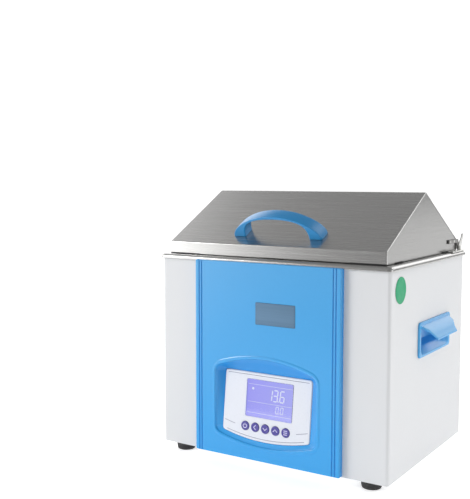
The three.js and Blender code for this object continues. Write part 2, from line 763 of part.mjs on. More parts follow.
function displayWindow() {
  const { width, height, x, z, proud, window } = DISPLAY;
  const outline = roundedRectangle(width - 2 * GAP, height - 2 * GAP, 1.7, x, z);
  return onBezel(slab(outline, proud - window, proud));
}

function displayModule() {
  const { width, height, x, z } = DISPLAY;
  const face = slab(roundedRectangle(width - 3, height - 3, 1, x, z), -4, -DISPLAY.module);
  const body = block([x - 44, x + 44], [z - 32, z + 32], [-9.8, -3.5]);
  return onBezel(join(face, body));
}

// The board behind the bezel: a tact switch under each key, and two chips and a connector on its back.
function controlBoard() {
  const { x, z, back, face, keyTop } = CONTROL_BOARD;
  const board = block(x, z, [back, face]);
  const keyZ = [BUTTON.z - 3, BUTTON.z + 3];
  const keys = buttonPlaces().map((place) => block([place - 3, place + 3], keyZ, [face - 0.4, keyTop]));
  const onBack = (height) => [back - height, back + 0.2];
  const chips = [
    block([-50, -28], [60, 74], onBack(2.3)),
    block([5, 17], [52, 64], onBack(2.3)),
    block([-20, 20], [112, 122], onBack(8.3)),
  ];
  return onBezel(join(board, ...keys, ...chips));
}

function buttonPlaces() {
  return BUTTON_NAMES.map((_, number) => BUTTON.x + (number - 2) * BUTTON.pitch);
}

function button(x) {
  const { radius, proud } = BUTTON;
  const cap = turned([
    [0, -8],
    [3, -8],
    [3, -5],
    [radius + 1.4, -5],
    [radius + 1.4, -3.6],
    [radius, -3.6],
    [radius, proud - 0.7],
    [radius - 0.7, proud],
    [0, proud],
  ], 18);
  return onBezel(cap.translate(x, BUTTON.z, 0));
}

// ---------------------------------------------------------------- side grip and label, drawn on the right

function sideGrip() {
  const front = wallX + GAP + GRIP.plate;
  const back = wallX - GRIP.pocket;
  const plan = roundedRectangle(GRIP.width, GRIP.height, 6, GRIP.y, GRIP.z);
  const plate = facingRight(softSlab(plan, wallX + GAP, front, 1));
  const tray = block(
    [back, front - 1],
    [GRIP.y - GRIP_TRAY.halfDepth, GRIP.y + GRIP_TRAY.halfDepth],
    [GRIP.z - GRIP_TRAY.below, GRIP.z + GRIP_TRAY.above],
  );
  const { halfDepth, ramp, wall } = POCKET;
  const throat = GRIP_TRAY.halfDepth - wall;
  const [low, high] = [GRIP.z - POCKET.below, GRIP.z + POCKET.above];
  const pocket = loftAlongX([
    [back + wall, throat - 6, low + 15, high - 1],
    [front - ramp, throat - 1, low + 9.5, high],
    [front - GRIP.plate, throat, low + 3.2, high],
    [front, halfDepth, low, high],
    [front + 1, halfDepth, low, high],
  ]);
  const tip = wallX + GRIP.reach;
  const hood = loftAlongX([
    [front - 1.5, 61.5, GRIP.z + 18.7, GRIP.z + 22.5],
    [wallX + 13, 55, GRIP.z + 12.2, GRIP.z + 16],
    [tip - 4, 46, GRIP.z + 3.8, GRIP.z + 7.5],
    [tip, 43, GRIP.z, GRIP.z + 2.5],
  ]);
  return join(cut(join(plate, tray), pocket), hood);
}

// A loft through upright rectangles, each [x, half width, low z, high z], with x growing outwards.
function loftAlongX(sections) {
  const rings = sections.map(([x, half, low, high]) => [
    new THREE.Vector3(low, x, half),
    new THREE.Vector3(low, x, -half),
    new THREE.Vector3(high, x, -half),
    new THREE.Vector3(high, x, half),
  ]);
  const turn = new THREE.Matrix4().set(0, 1, 0, 0, 0, 0, 1, GRIP.y, 1, 0, 0, 0, 0, 0, 0, 1);
  return loft(rings).applyMatrix4(turn);
}

function sideLabel() {
  const from = wallX + GAP;
  return rod(LABEL.radius, 'x', [from, from + LABEL.thickness], [LABEL.y, LABEL.z], 36);
}

// ---------------------------------------------------------------- electrics and drain

function transformer() {
  const z = GAP + CABINET.sheet + GAP;
  const core = block(TRANSFORMER.x, TRANSFORMER.y, [z, z + TRANSFORMER.height]);
  const coil = block(COIL.x, COIL.y, [z + COIL.z[0], z + COIL.z[1]]);
  return join(core, coil);
}

// A board on four pillars, with a relay, a row of terminals and a round filter.
function relayBoard() {
  const { x, y, above, thickness, pillar, pillarInset } = RELAY_BOARD;
  const z = GAP + CABINET.sheet + above;
  const upTo = (height) => [z + 1, z + height];
  const board = block(x, y, [z, z + thickness]);
  const relay = block([-60, -40], [-50, -20], upTo(20));
  const terminals = block([-120, -60], [0, 14], upTo(14));
  const filter = rod(11, 'z', upTo(28), [-105, -45], 18);
  const pillars = [];
  for (const pillarX of [x[0] + pillarInset, x[1] - pillarInset]) {
    for (const pillarY of [y[0] + pillarInset, y[1] - pillarInset]) {
      pillars.push(rod(pillar, 'z', [z - above + 0.6, z + 1], [pillarX, pillarY], 8));
    }
  }
  return join(board, relay, terminals, filter, ...pillars);
}

function mainsInlet() {
  const outside = rearFace + GAP;
  const { x, z, width, height } = INLET;
  const flange = slab(roundedRectangle(width, height, 4, x, z), -outside - 2.5, -outside);
  const body = bodyOf(INLET, [wallY - 18, outside + 1]);
  const socket = block([x - 12, x + 12], [wallY - 15, outside + 5], [z - 8, z + 8]);
  const { halfWidth, halfHeight, places } = INLET_PIN;
  const pins = places.map(([dx, dz]) => block(
    [x + dx - halfWidth, x + dx + halfWidth],
    [wallY - 16, wallY - 4],
    [z + dz - halfHeight, z + dz + halfHeight],
  ));
  return join(cut(join(facingFront(flange), body), socket), ...pins);
}

function switchHousing() {
  const outside = rearFace + GAP;
  const { x, z, width, height } = SWITCH;
  const flange = slab(roundedRectangle(width, height, 2, x, z), -outside - 2, -outside);
  const body = bodyOf(SWITCH, [wallY - 22, outside + 1]);
  return cut(
    join(facingFront(flange), body),
    block([x - 7, x + 7], [wallY - 8, outside + 5], [z - 11.3, z + 11.3]),
  );
}

// The rocker is drawn level, then tipped to its off position; it turns about X through its own middle.
function rocker() {
  const { halfWidth, halfHeight, proud, waist, heel } = ROCKER;
  const profile = polygon([
    [-heel, -3],
    [0.5, -halfHeight],
    [proud, 0.2 - halfHeight],
    [waist, 0],
    [proud, halfHeight - 0.2],
    [0.5, halfHeight],
    [-heel, 3],
  ]);
  const bar = facingRight(slab(profile, -halfWidth, halfWidth));
  return bar.rotateX(THREE.MathUtils.degToRad(SWITCH.tilt)).translate(SWITCH.x, rearFace, SWITCH.z);
}

class DrainRun extends THREE.CurvePath {
  constructor() {
    super();
    const start = new THREE.Vector3(DRAIN.x, DRAIN.y, tankFloor - TANK.sheet - GAP);
    const corner = new THREE.Vector3(DRAIN.x, DRAIN.y, DRAIN.z);
    const bendStart = corner.clone().setZ(DRAIN.z + DRAIN.bend);
    const bendEnd = corner.clone().setY(DRAIN.y + DRAIN.bend);
    this.add(new THREE.LineCurve3(start, bendStart));
    this.add(new THREE.QuadraticBezierCurve3(bendStart, corner, bendEnd));
    this.add(new THREE.LineCurve3(bendEnd, corner.clone().setY(rearFace + 1)));
  }
}

function drainPipe() {
  const ring = new THREE.Shape().absarc(0, 0, DRAIN.pipeRadius, 0, Math.PI * 2);
  ring.holes.push(new THREE.Path().absarc(0, 0, DRAIN.boreRadius, 0, Math.PI * 2));
  const options = { extrudePath: new DrainRun(), steps: 12, curveSegments: 5, bevelEnabled: false };
  return new THREE.ExtrudeGeometry(ring, options);
}

function drainValve() {
  const start = rearFace + 1 + GAP;
  const end = rearReach;
  const centre = [DRAIN.x, DRAIN.z];
  const body = join(
    rod(VALVE.nut, 'y', [start, start + VALVE.nutLength], centre, 6),
    rod(VALVE.body, 'y', [start + VALVE.nutLength - 1, end - 9], centre, 16),
    rod(VALVE.spout, 'y', [end - 10, end], centre, 16),
    rod(VALVE.stem, 'z', [DRAIN.z, DRAIN.z + VALVE.stemHeight], [DRAIN.x, stemY], 12),
  );
  return cut(body, rod(VALVE.bore, 'y', [stemY, end + 1], centre, 12));
}

function drainLever() {
  const low = DRAIN.z + VALVE.stemHeight + GAP;
  const blade = roundedRectangle(LEVER.length, LEVER.width, LEVER.corner, DRAIN.x - LEVER.middle, stemY);
  const sleeve = roundedRectangle(SLEEVE.length, SLEEVE.width, SLEEVE.corner, DRAIN.x - SLEEVE.middle, stemY);
  return join(slab(blade, low, low + LEVER.thickness), slab(sleeve, low - SLEEVE.below, low + SLEEVE.above));
}

// ---------------------------------------------------------------- the assembly

const bath = new THREE.Group();
bath.position.set(0, (frontReach - rearReach) / 2, FOOT.height);

function add(name, geometry, [color, roughness, metalness]) {
  const material = new THREE.MeshStandardMaterial({ color, roughness, metalness });
  const mesh = new THREE.Mesh(geometry, material);
  mesh.name = name;
  bath.add(mesh);
}

function addPair(name, geometry, finish) {
  add(`${name}_right`, geometry, finish);
  add(`${name}_left`, mirrored(geometry), finish);
}

add('cabinet_shell', cabinetShell(), FINISH.whitePaint);
add('base_plate', basePlate(), FINISH.whitePaint);
add('rear_panel', rearPanel(), FINISH.whitePaint);
screwPlaces().forEach((place, number) => {
  add(`rear_screw_${number + 1}`, rearScrew(place), FINISH.darkSteel);
});
['front_left', 'front_right', 'rear_left', 'rear_right'].forEach((corner, number) => {
  add(`foot_${corner}`, foot(footPlaces()[number]), FINISH.blackRubber);
});

add('deck_rim', deckRim(), FINISH.stainless);
add('tank', tank(), FINISH.stainless);
add('tank_insulation', insulation(), FINISH.glassWool);
add('perforated_shelf', perforatedShelf(), FINISH.stainless);
add('heater_element', heaterElement(), FINISH.stainless);
add('heater_nut_front', wallNut(-HEATER.bend, HEATER.radius + GAP, 16), FINISH.brass);
add('heater_nut_rear', wallNut(HEATER.bend, HEATER.radius + GAP, 16), FINISH.brass);
add('temperature_sensor', temperatureSensor(), FINISH.stainless);
add('sensor_nut', wallNut(SENSOR.y, SENSOR.radius + GAP, 12), FINISH.brass);
add('cut_out_thermostat', cutOutThermostat(), FINISH.blackPlastic);

add('front_panel', frontPanel(), FINISH.bluePlastic);
add('nameplate', namePlate(0), FINISH.badge);
add('control_bezel', controlBezel(), FINISH.whitePlastic);
add('display_window', displayWindow(), FINISH.clearPlastic);
add('display_module', displayModule(), FINISH.display);
add('control_board', controlBoard(), FINISH.circuitBoard);
BUTTON_NAMES.forEach((name, number) => {
  add(name, button(buttonPlaces()[number]), FINISH.buttonPlastic);
});

addPair('side_grip', sideGrip(), FINISH.bluePlastic);
add('side_label', sideLabel(), FINISH.greenLabel);

add('lid_shell', lidShell(), FINISH.stainless);
add('lid_handle', lidHandle(), FINISH.bluePlastic);
['left', 'right'].forEach((side, number) => {
  add(`lid_handle_screw_${side}`, handleScrew(handleScrewPlaces()[number]), FINISH.darkSteel);
});
addPair('lid_bumper_front', frontPad(), FINISH.blackRubber);
addPair('lid_bumper_side', endPad(PAD_PLACES.side), FINISH.blackRubber);
addPair('lid_bumper_rear', endPad(PAD_PLACES.rear), FINISH.blackRubber);
addPair('hinge_bracket', hingeBracket(), FINISH.stainless);
addPair('hinge_strap', hingeStrap(), FINISH.darkSteel);
addPair('hinge_pin', hingePin(), FINISH.darkSteel);

add('transformer', transformer(), FINISH.copper);
add('relay_board', relayBoard(), FINISH.circuitBoard);
add('mains_inlet', mainsInlet(), FINISH.blackPlastic);
add('switch_housing', switchHousing(), FINISH.blackPlastic);
add('power_rocker', rocker(), FINISH.blackPlastic);
add('drain_pipe', drainPipe(), FINISH.copper);
add('drain_valve', drainValve(), FINISH.brass);
add('drain_lever', drainLever(), FINISH.redPlastic);

export default bath;
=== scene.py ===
"""Looks of a benchtop laboratory water bath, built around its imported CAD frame.

Shapes are drawn in millimetres from the cabinet's underside, as the CAD is, with x to the right, y to the
back and z up, and moved into the frame (metres) when each piece is finished.
"""

import math
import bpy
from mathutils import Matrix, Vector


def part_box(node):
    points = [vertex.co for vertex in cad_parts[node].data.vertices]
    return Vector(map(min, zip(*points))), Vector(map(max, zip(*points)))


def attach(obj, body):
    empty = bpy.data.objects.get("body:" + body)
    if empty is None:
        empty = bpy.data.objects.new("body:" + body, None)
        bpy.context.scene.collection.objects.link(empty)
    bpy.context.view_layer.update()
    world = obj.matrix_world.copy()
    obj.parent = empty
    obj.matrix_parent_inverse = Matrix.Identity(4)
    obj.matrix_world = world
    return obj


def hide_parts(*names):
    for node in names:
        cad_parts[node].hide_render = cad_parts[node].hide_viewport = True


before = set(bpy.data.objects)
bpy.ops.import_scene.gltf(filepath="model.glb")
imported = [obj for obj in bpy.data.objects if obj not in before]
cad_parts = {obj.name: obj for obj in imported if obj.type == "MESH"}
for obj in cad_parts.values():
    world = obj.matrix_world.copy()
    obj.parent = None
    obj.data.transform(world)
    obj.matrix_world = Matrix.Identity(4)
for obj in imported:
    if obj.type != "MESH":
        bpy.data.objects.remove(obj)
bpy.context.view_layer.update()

from types import SimpleNamespace as Sizes

import bmesh
import bpy
from mathutils import Matrix, Vector

# ------------------------------------------------------------------ the frame, in millimetres

MM = 0.001


def size_of(node):
    """The lowest and highest corner of a CAD node in cabinet millimetres."""
    low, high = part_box(node)
    return FROM_FRAME @ low, FROM_FRAME @ high


cabinet_low, cabinet_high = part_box("cabinet_shell")
TO_FRAME = Matrix.Translation((0, (cabinet_low.y + cabinet_high.y) / 2, cabinet_low.z)) @ Matrix.Scale(MM, 4)
FROM_FRAME = TO_FRAME.inverted()

CABINET_HIGH = size_of("cabinet_shell")[1]
DECK_LOW, DECK_HIGH = size_of("deck_rim")
TANK_LOW, TANK_HIGH = size_of("tank")
LID_LOW, LID_HIGH = size_of("lid_shell")
PANEL_LOW, PANEL_HIGH = size_of("front_panel")
SHELF_LOW, SHELF_HIGH = size_of("perforated_shelf")

# ------------------------------------------------------------------ driving dimensions (mm)
# GAP is the clearance between neighbours, and PAST is how far a cutting tool reaches beyond a wall.

CABINET = Sizes(sheet=1.5, corner=5, middle=150, screw_x=182, screw_z=(30, 270), screw_hole=2.3)
OPENING = Sizes(rear=(356, 264), rear_corner=6, controls_half=89, controls=(16, 150), grip=41, grip_corner=4)
DECK = Sizes(corner=8, sheet=1.5, edge=5.5, lip=1.2)
TANK = Sizes(width=300, depth=240, corner=25, sheet=1.2, floor_radius=12, flange_corner=41, rim=1.5,
             outlet=(110, 80), outlet_radius=6)
SHELF = Sizes(sheet=1.5, corner=22, hole=9, pitch=37, columns=7, rows=5, leg=230, leg_y=(-100, 98.5))
HEATER = Sizes(end=100, bend=45, radius=4, hole=4.3, straight=(-60, 20), tail=18, above_floor=17)
SENSOR = Sizes(y=80, hole=2.8)
LID = Sizes(sheet=1.2, fascia=18.8, fold=1.4, recess=0.5, margin=1.5)
BAR = Sizes(spread=76, span=55, height=36.5, clear=31.5, width=22, along=22, crown=0.9, screws=(-65.5, 65.5))
GROOVE = Sizes(places=(113, 117.5), width=2.0, depth=1.6)
PANEL = Sizes(skin=3, edge=1.8, corner=2.2, sleeve=9)
SCOOP = Sizes(half=87.5, top_edge=138.5, top_middle=157, bottom_edge=38, bottom_middle=23.6,
              corner=9, lip=2.2, rim=5.5, shoulder=2.2, proud=0.9)
BEZEL = Sizes(half=75.5, top=134, bottom_edge=41, bottom_middle=31, corner=4.5, thickness=3.2,
              rounding=1.8, depth_bottom=1, depth_top=12, step=1.2)
DISPLAY = Sizes(width=81, height=57, x=4.5, z=95.5, proud=0.8, window=2.2, module=2.5)
BUTTON = Sizes(radius=6.75, pitch=17.6, x=0.3, z=51.7, proud=1.2, dish=0.35, edge=0.7)
GRIP = Sizes(width=134, height=53.5, y=17, z=187.8, plate=3, reach=23, pocket=20, tray=60, ramp=9)
BADGE = Sizes(corner=1, border=2.2, line=0.5, line_depth=0.12)
LABEL = Sizes(radius=19.2, y=-120, z=271)
PADS = Sizes(seat=1.5, inside=5, leg=1.2, lip=0.6)
PAD_ENDS = {"front": (130, 184), "side": (-115, -89), "rear": (80, 114)}
PIVOT = Sizes(y=152, z=312.5, pin=2, ear=4.5)
STRAP = Sizes(low=320.5, high=326.5, front=104, rivets=(110, 128))
BRACKET = Sizes(sheet=1.5, screw_x=194, screws=(101, 115), screw_hole=1.8)
GAP = 0.3
PAST = 10
BUTTON_NAMES = ("button_power", "button_back", "button_down", "button_up", "button_set")

WALL_X = CABINET_HIGH.x
WALL_Y = CABINET_HIGH.y
DECK_TOP = DECK_HIGH.z
LID_BOTTOM = LID_LOW.z
PAD_SEAT = DECK_TOP + PADS.seat
EAVE = LID_BOTTOM + LID.fascia
RIDGE = LID_HIGH.z
LID_HALF = LID_HIGH.y
SLOPE = math.atan2(RIDGE - EAVE, LID_HALF)
BAR_MIDDLE = BAR.along + BAR.width / 2
HEATER_Z = TANK_LOW.z + TANK.sheet + HEATER.above_floor
PANEL_FRONT = PANEL_LOW.y + SCOOP.proud
PANEL_BACK = PANEL_HIGH.y
BEZEL_TILT = math.atan2(BEZEL.depth_top - BEZEL.depth_bottom, BEZEL.top - BEZEL.bottom_middle)

# ------------------------------------------------------------------ outlines


def arc(centre, radius, start, end, steps):
    """Points on an arc, angles in degrees, both ends included."""
    points = []
    for step in range(steps + 1):
        angle = math.radians(start + (end - start) * step / steps)
        points.append((centre[0] + radius * math.cos(angle), centre[1] + radius * math.sin(angle)))
    return points


def circle(radius, sides, centre=(0, 0)):
    return arc(centre, radius, 0, 360, sides)[:-1]


def rounded_rectangle(width, height, radius, centre=(0, 0), steps=8):
    """A rounded rectangle, anticlockwise; every call with the same steps has the same number of points."""
    right = width / 2 - radius
    top = height / 2 - radius
    points = []
    for sign_x, sign_y, start in ((1, -1, -90), (1, 1, 0), (-1, 1, 90), (-1, -1, 180)):
        corner = (centre[0] + sign_x * right, centre[1] + sign_y * top)
        points += arc(corner, radius, start, start + 90, steps)
    return points


def bezier(start, *controls_and_end, steps=10):
    """Points on a quadratic or cubic Bezier curve, the first point left out."""
    places = [Vector(start)] + [Vector(place) for place in controls_and_end]
    points = []
    for step in range(1, steps + 1):
        t = step / steps
        between = places
        while len(between) > 1:
            between = [a.lerp(b, t) for a, b in zip(between, between[1:])]
        points.append(tuple(between[0]))
    return points


def control_outline(half, top_edge, top_middle, bottom_edge, bottom_middle, corner, steps=9):
    """The controls' outline: straight sides, rounded corners, and a bowed top and bottom."""
    reach = half - corner
    top = top_middle + (top_edge - top_middle) * (reach / half) ** 2
    bottom = bottom_middle + (bottom_edge - bottom_middle) * (reach / half) ** 2
    points = [(-reach, bottom)]
    points += bezier(points[-1], (0, 2 * bottom_middle - bottom), (reach, bottom), steps=3 * steps)
    points += bezier(points[-1], (half, bottom_edge), (half, bottom_edge + corner), steps=steps)
    points.append((half, top_edge - corner))
    points += bezier(points[-1], (half, top_edge), (reach, top), steps=steps)
    points += bezier(points[-1], (0, 2 * top_middle - top), (-reach, top), steps=3 * steps)
    points += bezier(points[-1], (-half, top_edge), (-half, top_edge - corner), steps=steps)
    points.append((-half, bottom_edge + corner))
    points += bezier(points[-1], (-half, bottom_edge), (-reach, bottom), steps=steps)
    return points[:-1]


def bezel_outline(grow=0.0):
    return control_outline(
        BEZEL.half + grow, BEZEL.top + grow, BEZEL.top + grow,
        BEZEL.bottom_edge - grow, BEZEL.bottom_middle - grow, BEZEL.corner + grow,
    )


def scoop_outline(grow=0.0):
    return control_outline(
        SCOOP.half + grow, SCOOP.top_edge + grow, SCOOP.top_middle + grow,
        SCOOP.bottom_edge - grow, SCOOP.bottom_middle - grow, SCOOP.corner + grow,
    )


# ------------------------------------------------------------------ solids, as bmeshes in millimetres

# How an outline's (u, v) and its height w are laid out: lying flat, facing the front, facing the right.
FLAT = "flat"
FRONT = "front"
RIGHT = "right"


def placed(u, v, w, facing):
    if facing == FRONT:
        return Vector((u, w, v))
    if facing == RIGHT:
        return Vector((w, u, v))
    return Vector((u, v, w))


def level(outline, z):
    """A flat outline as a ring of points at height z."""
    return [Vector((x, y, z)) for x, y in outline]


def loft(rings, closed=False):
    """A closed skin through rings of points of the same count, capped at both ends or joined end to end."""
    shape = bmesh.new()
    rows = [[shape.verts.new(point) for point in ring] for ring in rings]
    pairs = list(zip(rows, rows[1:]))
    if closed:
        pairs.append((rows[-1], rows[0]))
    else:
        shape.faces.new(rows[0])
        shape.faces.new(rows[-1])
    count = len(rings[0])
    for lower, upper in pairs:
        for corner in range(count):
            following = (corner + 1) % count
            shape.faces.new((lower[corner], lower[following], upper[following], upper[corner]))
    bmesh.ops.recalc_face_normals(shape, faces=shape.faces)
    return shape


def prism(outline, low, high, facing=FLAT):
    return loft([[placed(u, v, w, facing) for u, v in outline] for w in (low, high)])


def block(x, y, z):
    return prism([(x[0], y[0]), (x[1], y[0]), (x[1], y[1]), (x[0], y[1])], z[0], z[1])


def soft_slab(outline_at, low, high, edge, facing=FLAT, steps=5, lower_edge=0.0):
    """A slab whose upper (and lower) edge is rounded; outline_at(inset) gives its outline, drawn in."""
    rings = []
    if lower_edge:
        rings += [(lower_edge * (1 - math.sin(a)), low + lower_edge * (1 - math.cos(a)))
                  for a in quarter(steps)]
    else:
        rings.append((0, low))
    rings += [(edge * (1 - math.cos(a)), high - edge * (1 - math.sin(a))) for a in quarter(steps)]
    return loft([[placed(u, v, w, facing) for u, v in outline_at(inset)] for inset, w in rings])


def quarter(steps):
    return [math.pi / 2 * step / steps for step in range(steps + 1)]


def soft_box(width, height, corner, low, high, edge, facing=FLAT, centre=(0, 0), steps=5, lower_edge=0.0):
    def outline_at(inset):
        radius = max(corner - inset, 0.05)
        return rounded_rectangle(width - 2 * inset, height - 2 * inset, radius, centre, steps)
    return soft_slab(outline_at, low, high, edge, facing, steps, lower_edge)


def lathe(profile, sides=48):
    """A turned piece about the Z axis, from (radius, z) pairs."""
    return loft([level(circle(radius, sides), z) for radius, z in profile])


def rod(radius, axis, ends, centre, sides=32):
    """A round bar along 'x', 'y' or 'z' between two places, centred on the other two coordinates."""
    facing = {"x": RIGHT, "y": FRONT, "z": FLAT}[axis]
    return prism(circle(radius, sides, centre), *ends, facing)


def moved(shape, matrix):
    bmesh.ops.transform(shape, matrix=matrix, verts=shape.verts)
    if matrix.determinant() < 0:
        bmesh.ops.reverse_faces(shape, faces=shape.faces)
    return shape


def shifted(shape, x, y, z):
    return moved(shape, Matrix.Translation((x, y, z)))


def mirrored(shape):
    return moved(shape, Matrix.Scale(-1, 4, (1, 0, 0)))


# Paired pieces are drawn for the right side; the left one is the mirror of the right one.
SIDES = (("right", lambda shape: shape), ("left", mirrored))


def pointing_right(shape, x, y, z):
    """Moves a piece drawn along Z so that it points to the right."""
    return moved(shape, Matrix.Translation((x, y, z)) @ Matrix.Rotation(math.pi / 2, 4, "Y"))


def front_slab(outline_at, front, back, edge, steps):
    """An upright slab whose rounded edge is towards the front."""
    slab = soft_slab(outline_at, -back, -front, edge, FRONT, steps)
    return moved(slab, Matrix.Scale(-1, 4, (0, 1, 0)))


def object_from(shape, name="temporary"):
    mesh = bpy.data.meshes.new(name)
    shape.to_mesh(mesh)
    shape.free()
    made = bpy.data.objects.new(name, mesh)
    bpy.context.scene.collection.objects.link(made)
    return made


def shape_with_modifiers(made):
    """The object's shape with its modifiers applied, as a bmesh; the object is removed."""
    graph = bpy.context.evaluated_depsgraph_get()
    shape = bmesh.new()
    shape.from_object(made, graph)
    bpy.data.objects.remove(made)
    return shape


def combined(operation, body, tools):
    target = object_from(body)
    helpers = []
    for tool in tools:
        helper = object_from(tool)
        step = target.modifiers.new(operation, "BOOLEAN")
        step.operation = operation
        step.solver = "EXACT"
        step.object = helper
        helpers.append(helper)
    shape = shape_with_modifiers(target)
    for helper in helpers:
        bpy.data.objects.remove(helper)
    return shape


def cut(body, *tools):
    return combined("DIFFERENCE", body, tools)


def join(body, *tools):
    return combined("UNION", body, tools)


def gathered(*shapes):
    """Several separate solids as one shape."""
    whole = bmesh.new()
    for shape in shapes:
        mesh = bpy.data.meshes.new("part")
        shape.to_mesh(mesh)
        shape.free()
        whole.from_mesh(mesh)
        bpy.data.meshes.remove(mesh)
    return whole


def ease_edges(made, width, steps, angle):
    """Adds the modifiers that merge flat faces and round the edges sharper than the angle."""
    flat = made.modifiers.new("flat", "DECIMATE")
    flat.decimate_type = "DISSOLVE"
    flat.angle_limit = math.radians(0.5)
    bevel = made.modifiers.new("edge", "BEVEL")
    bevel.width = width
    bevel.segments = steps
    bevel.limit_method = "ANGLE"
    bevel.angle_limit = math.radians(angle)


def eased(shape, width, steps=3, angle=30):
    """The shape with its sharp edges rounded over."""
    made = object_from(shape)
    ease_edges(made, width, steps, angle)
    return shape_with_modifiers(made)


# ------------------------------------------------------------------ finishes


class Finish:
    """A Principled material whose colour, roughness and relief come from patterns fixed to the piece."""

    def __init__(self, name, color, roughness, metallic=0.0, **constants):
        self.material = bpy.data.materials.new(name)
        self.material.use_nodes = True
        self.nodes = self.material.node_tree.nodes
        self.links = self.material.node_tree.links
        self.shader = self.nodes["Principled BSDF"]
        self.shader.inputs["Base Color"].default_value = (*color, 1)
        self.shader.inputs["Roughness"].default_value = roughness
        self.shader.inputs["Metallic"].default_value = metallic
        for socket, value in constants.items():
            self.shader.inputs[socket.replace("_", " ")].default_value = value
        self.place = self.nodes.new("ShaderNodeTexCoord").outputs["Object"]
        self.relief = None

    def stretched(self, x, y, z):
        """Object coordinates multiplied along each axis, in pattern repeats per metre."""
        mapping = self.nodes.new("ShaderNodeMapping")
        mapping.inputs["Scale"].default_value = (x, y, z)
        self.links.new(self.place, mapping.inputs["Vector"])
        return mapping.outputs["Vector"]

    def noise(self, scale, detail=2.0, roughness=0.5, distortion=0.0):
        """A noise pattern; scale is one number, or three for a stretched pattern."""
        node = self.nodes.new("ShaderNodeTexNoise")
        node.inputs["Detail"].default_value = detail
        node.inputs["Roughness"].default_value = roughness
        node.inputs["Distortion"].default_value = distortion
        if isinstance(scale, (int, float)):
            node.inputs["Scale"].default_value = scale
            self.links.new(self.place, node.inputs["Vector"])
        else:
            node.inputs["Scale"].default_value = 1.0
            self.links.new(self.stretched(*scale), node.inputs["Vector"])
        return node.outputs["Fac"]

    def cells(self, scale, feature="F1"):
        node = self.nodes.new("ShaderNodeTexVoronoi")
        node.feature = feature
        node.inputs["Scale"].default_value = scale
        self.links.new(self.place, node.inputs["Vector"])
        return node.outputs["Distance"]

    def ranged(self, value, low, high, to_low=0, to_high=1):
        node = self.nodes.new("ShaderNodeMapRange")
        for socket, number in zip(("From Min", "From Max", "To Min", "To Max"), (low, high, to_low, to_high)):
            node.inputs[socket].default_value = number
        self.links.new(value, node.inputs["Value"])
        return node.outputs["Result"]

    def axis(self, name):
        """The object coordinate along X, Y or Z, in metres."""
        node = self.nodes.new("ShaderNodeSeparateXYZ")
        self.links.new(self.place, node.inputs["Vector"])
        return node.outputs[name]

    def mixed(self, factor, first, second):
        node = self.nodes.new("ShaderNodeMix")
        node.data_type = "RGBA"
        self.links.new(factor, node.inputs["Factor"])
        for socket, color in ((6, first), (7, second)):
            if isinstance(color, tuple):
                node.inputs[socket].default_value = (*color, 1)
            else:
                self.links.new(color, node.inputs[socket])
        return node.outputs[2]

    def paint(self, color):
        self.links.new(color, self.shader.inputs["Base Color"])

    def mottle(self, pattern, low, high, first, second):
        """Paints from the first colour to the second as the pattern goes from low to high."""
        self.paint(self.mixed(self.ranged(pattern, low, high), first, second))

    def roughen(self, value, low, high, spread=(0.3, 0.7)):
        self.links.new(self.ranged(value, *spread, low, high), self.shader.inputs["Roughness"])

    def bump(self, value, height, strength=1.0):
        """Relief of the given height in metres; calls add up."""
        node = self.nodes.new("ShaderNodeBump")
        node.inputs["Strength"].default_value = strength
        node.inputs["Distance"].default_value = height
        self.links.new(value, node.inputs["Height"])
        if self.relief:
            self.links.new(self.relief, node.inputs["Normal"])
        self.relief = node.outputs["Normal"]
        self.links.new(self.relief, self.shader.inputs["Normal"])


def shade(color, factor):
    return tuple(min(channel * factor, 1.0) for channel in color)


def plastic(name, color, roughness, grain=1400, height=0.00002, spread=0.06, shaded_foot_color=None,
            recess_shade_color=None):
    """Moulded plastic: a fine spark-eroded grain, slight cloudiness, and if asked painted shade low down
    and a painted shadow in the panel's recess."""
    finish = Finish(name, color, roughness)
    cloud = finish.ranged(finish.noise(300, detail=3), 0.3, 0.7)
    paint = finish.mixed(cloud, shade(color, 0.99), shade(color, 1.01))
    # Painted shade: the colour goes over to a deeper, darker blue low down, fading out upwards.
    if shaded_foot_color:
        lower = finish.mixed(cloud, shade(shaded_foot_color, 0.99), shade(shaded_foot_color, 1.01))
        paint = finish.mixed(finish.ranged(finish.axis("Z"), *SHADE_FADE), lower, paint)
    # Painted shadow: the colour darkens deeper into the panel's recess.
    if recess_shade_color:
        paint = finish.mixed(finish.ranged(finish.axis("Y"), *RECESS_SHADE), paint, recess_shade_color)
    finish.paint(paint)
    finish.roughen(finish.noise(300, detail=4), roughness - spread, roughness + spread)
    finish.bump(finish.noise(grain, detail=2), height)
    return finish.material


def brushed(name, color, rough, direction, contrast=0.035, height=0.000005):
    """Sheet metal with a brushed grain running along one axis, broken up into streaks."""
    scales = [2600, 2600, 2600]
    scales["xyz".index(direction)] = 7
    finish = Finish(name, color, rough[0], 1.0)
    hairs = finish.noise(scales, detail=4, roughness=0.7)
    bands = finish.noise([scale / 9 for scale in scales], detail=3, roughness=0.6)
    bright, dull = shade(color, 1 + contrast), shade(color, 1 - contrast)
    streaks = finish.mixed(finish.ranged(bands, 0.3, 0.7), dull, bright)
    finish.paint(finish.mixed(finish.ranged(hairs, 0.35, 0.65, 0, 0.4), streaks, shade(color, 1.04)))
    finish.roughen(hairs, *rough)
    finish.bump(hairs, height)
    finish.bump(finish.noise(11, detail=1), 0.00012, 0.25)
    return finish.material


def powder_coat():
    color = (0.70, 0.71, 0.725)
    finish = Finish("white_powder_coat", color, 0.4, Coat_Weight=0.15, Coat_Roughness=0.25)
    finish.paint(finish.mixed(finish.noise(5, detail=2), shade(color, 0.985), shade(color, 1.01)))
    finish.roughen(finish.noise(320, detail=3), 0.36, 0.5)
    finish.bump(finish.noise(650, detail=1.5), 0.00003)
    finish.bump(finish.cells(1700, "SMOOTH_F1"), 0.000012)
    return finish.material


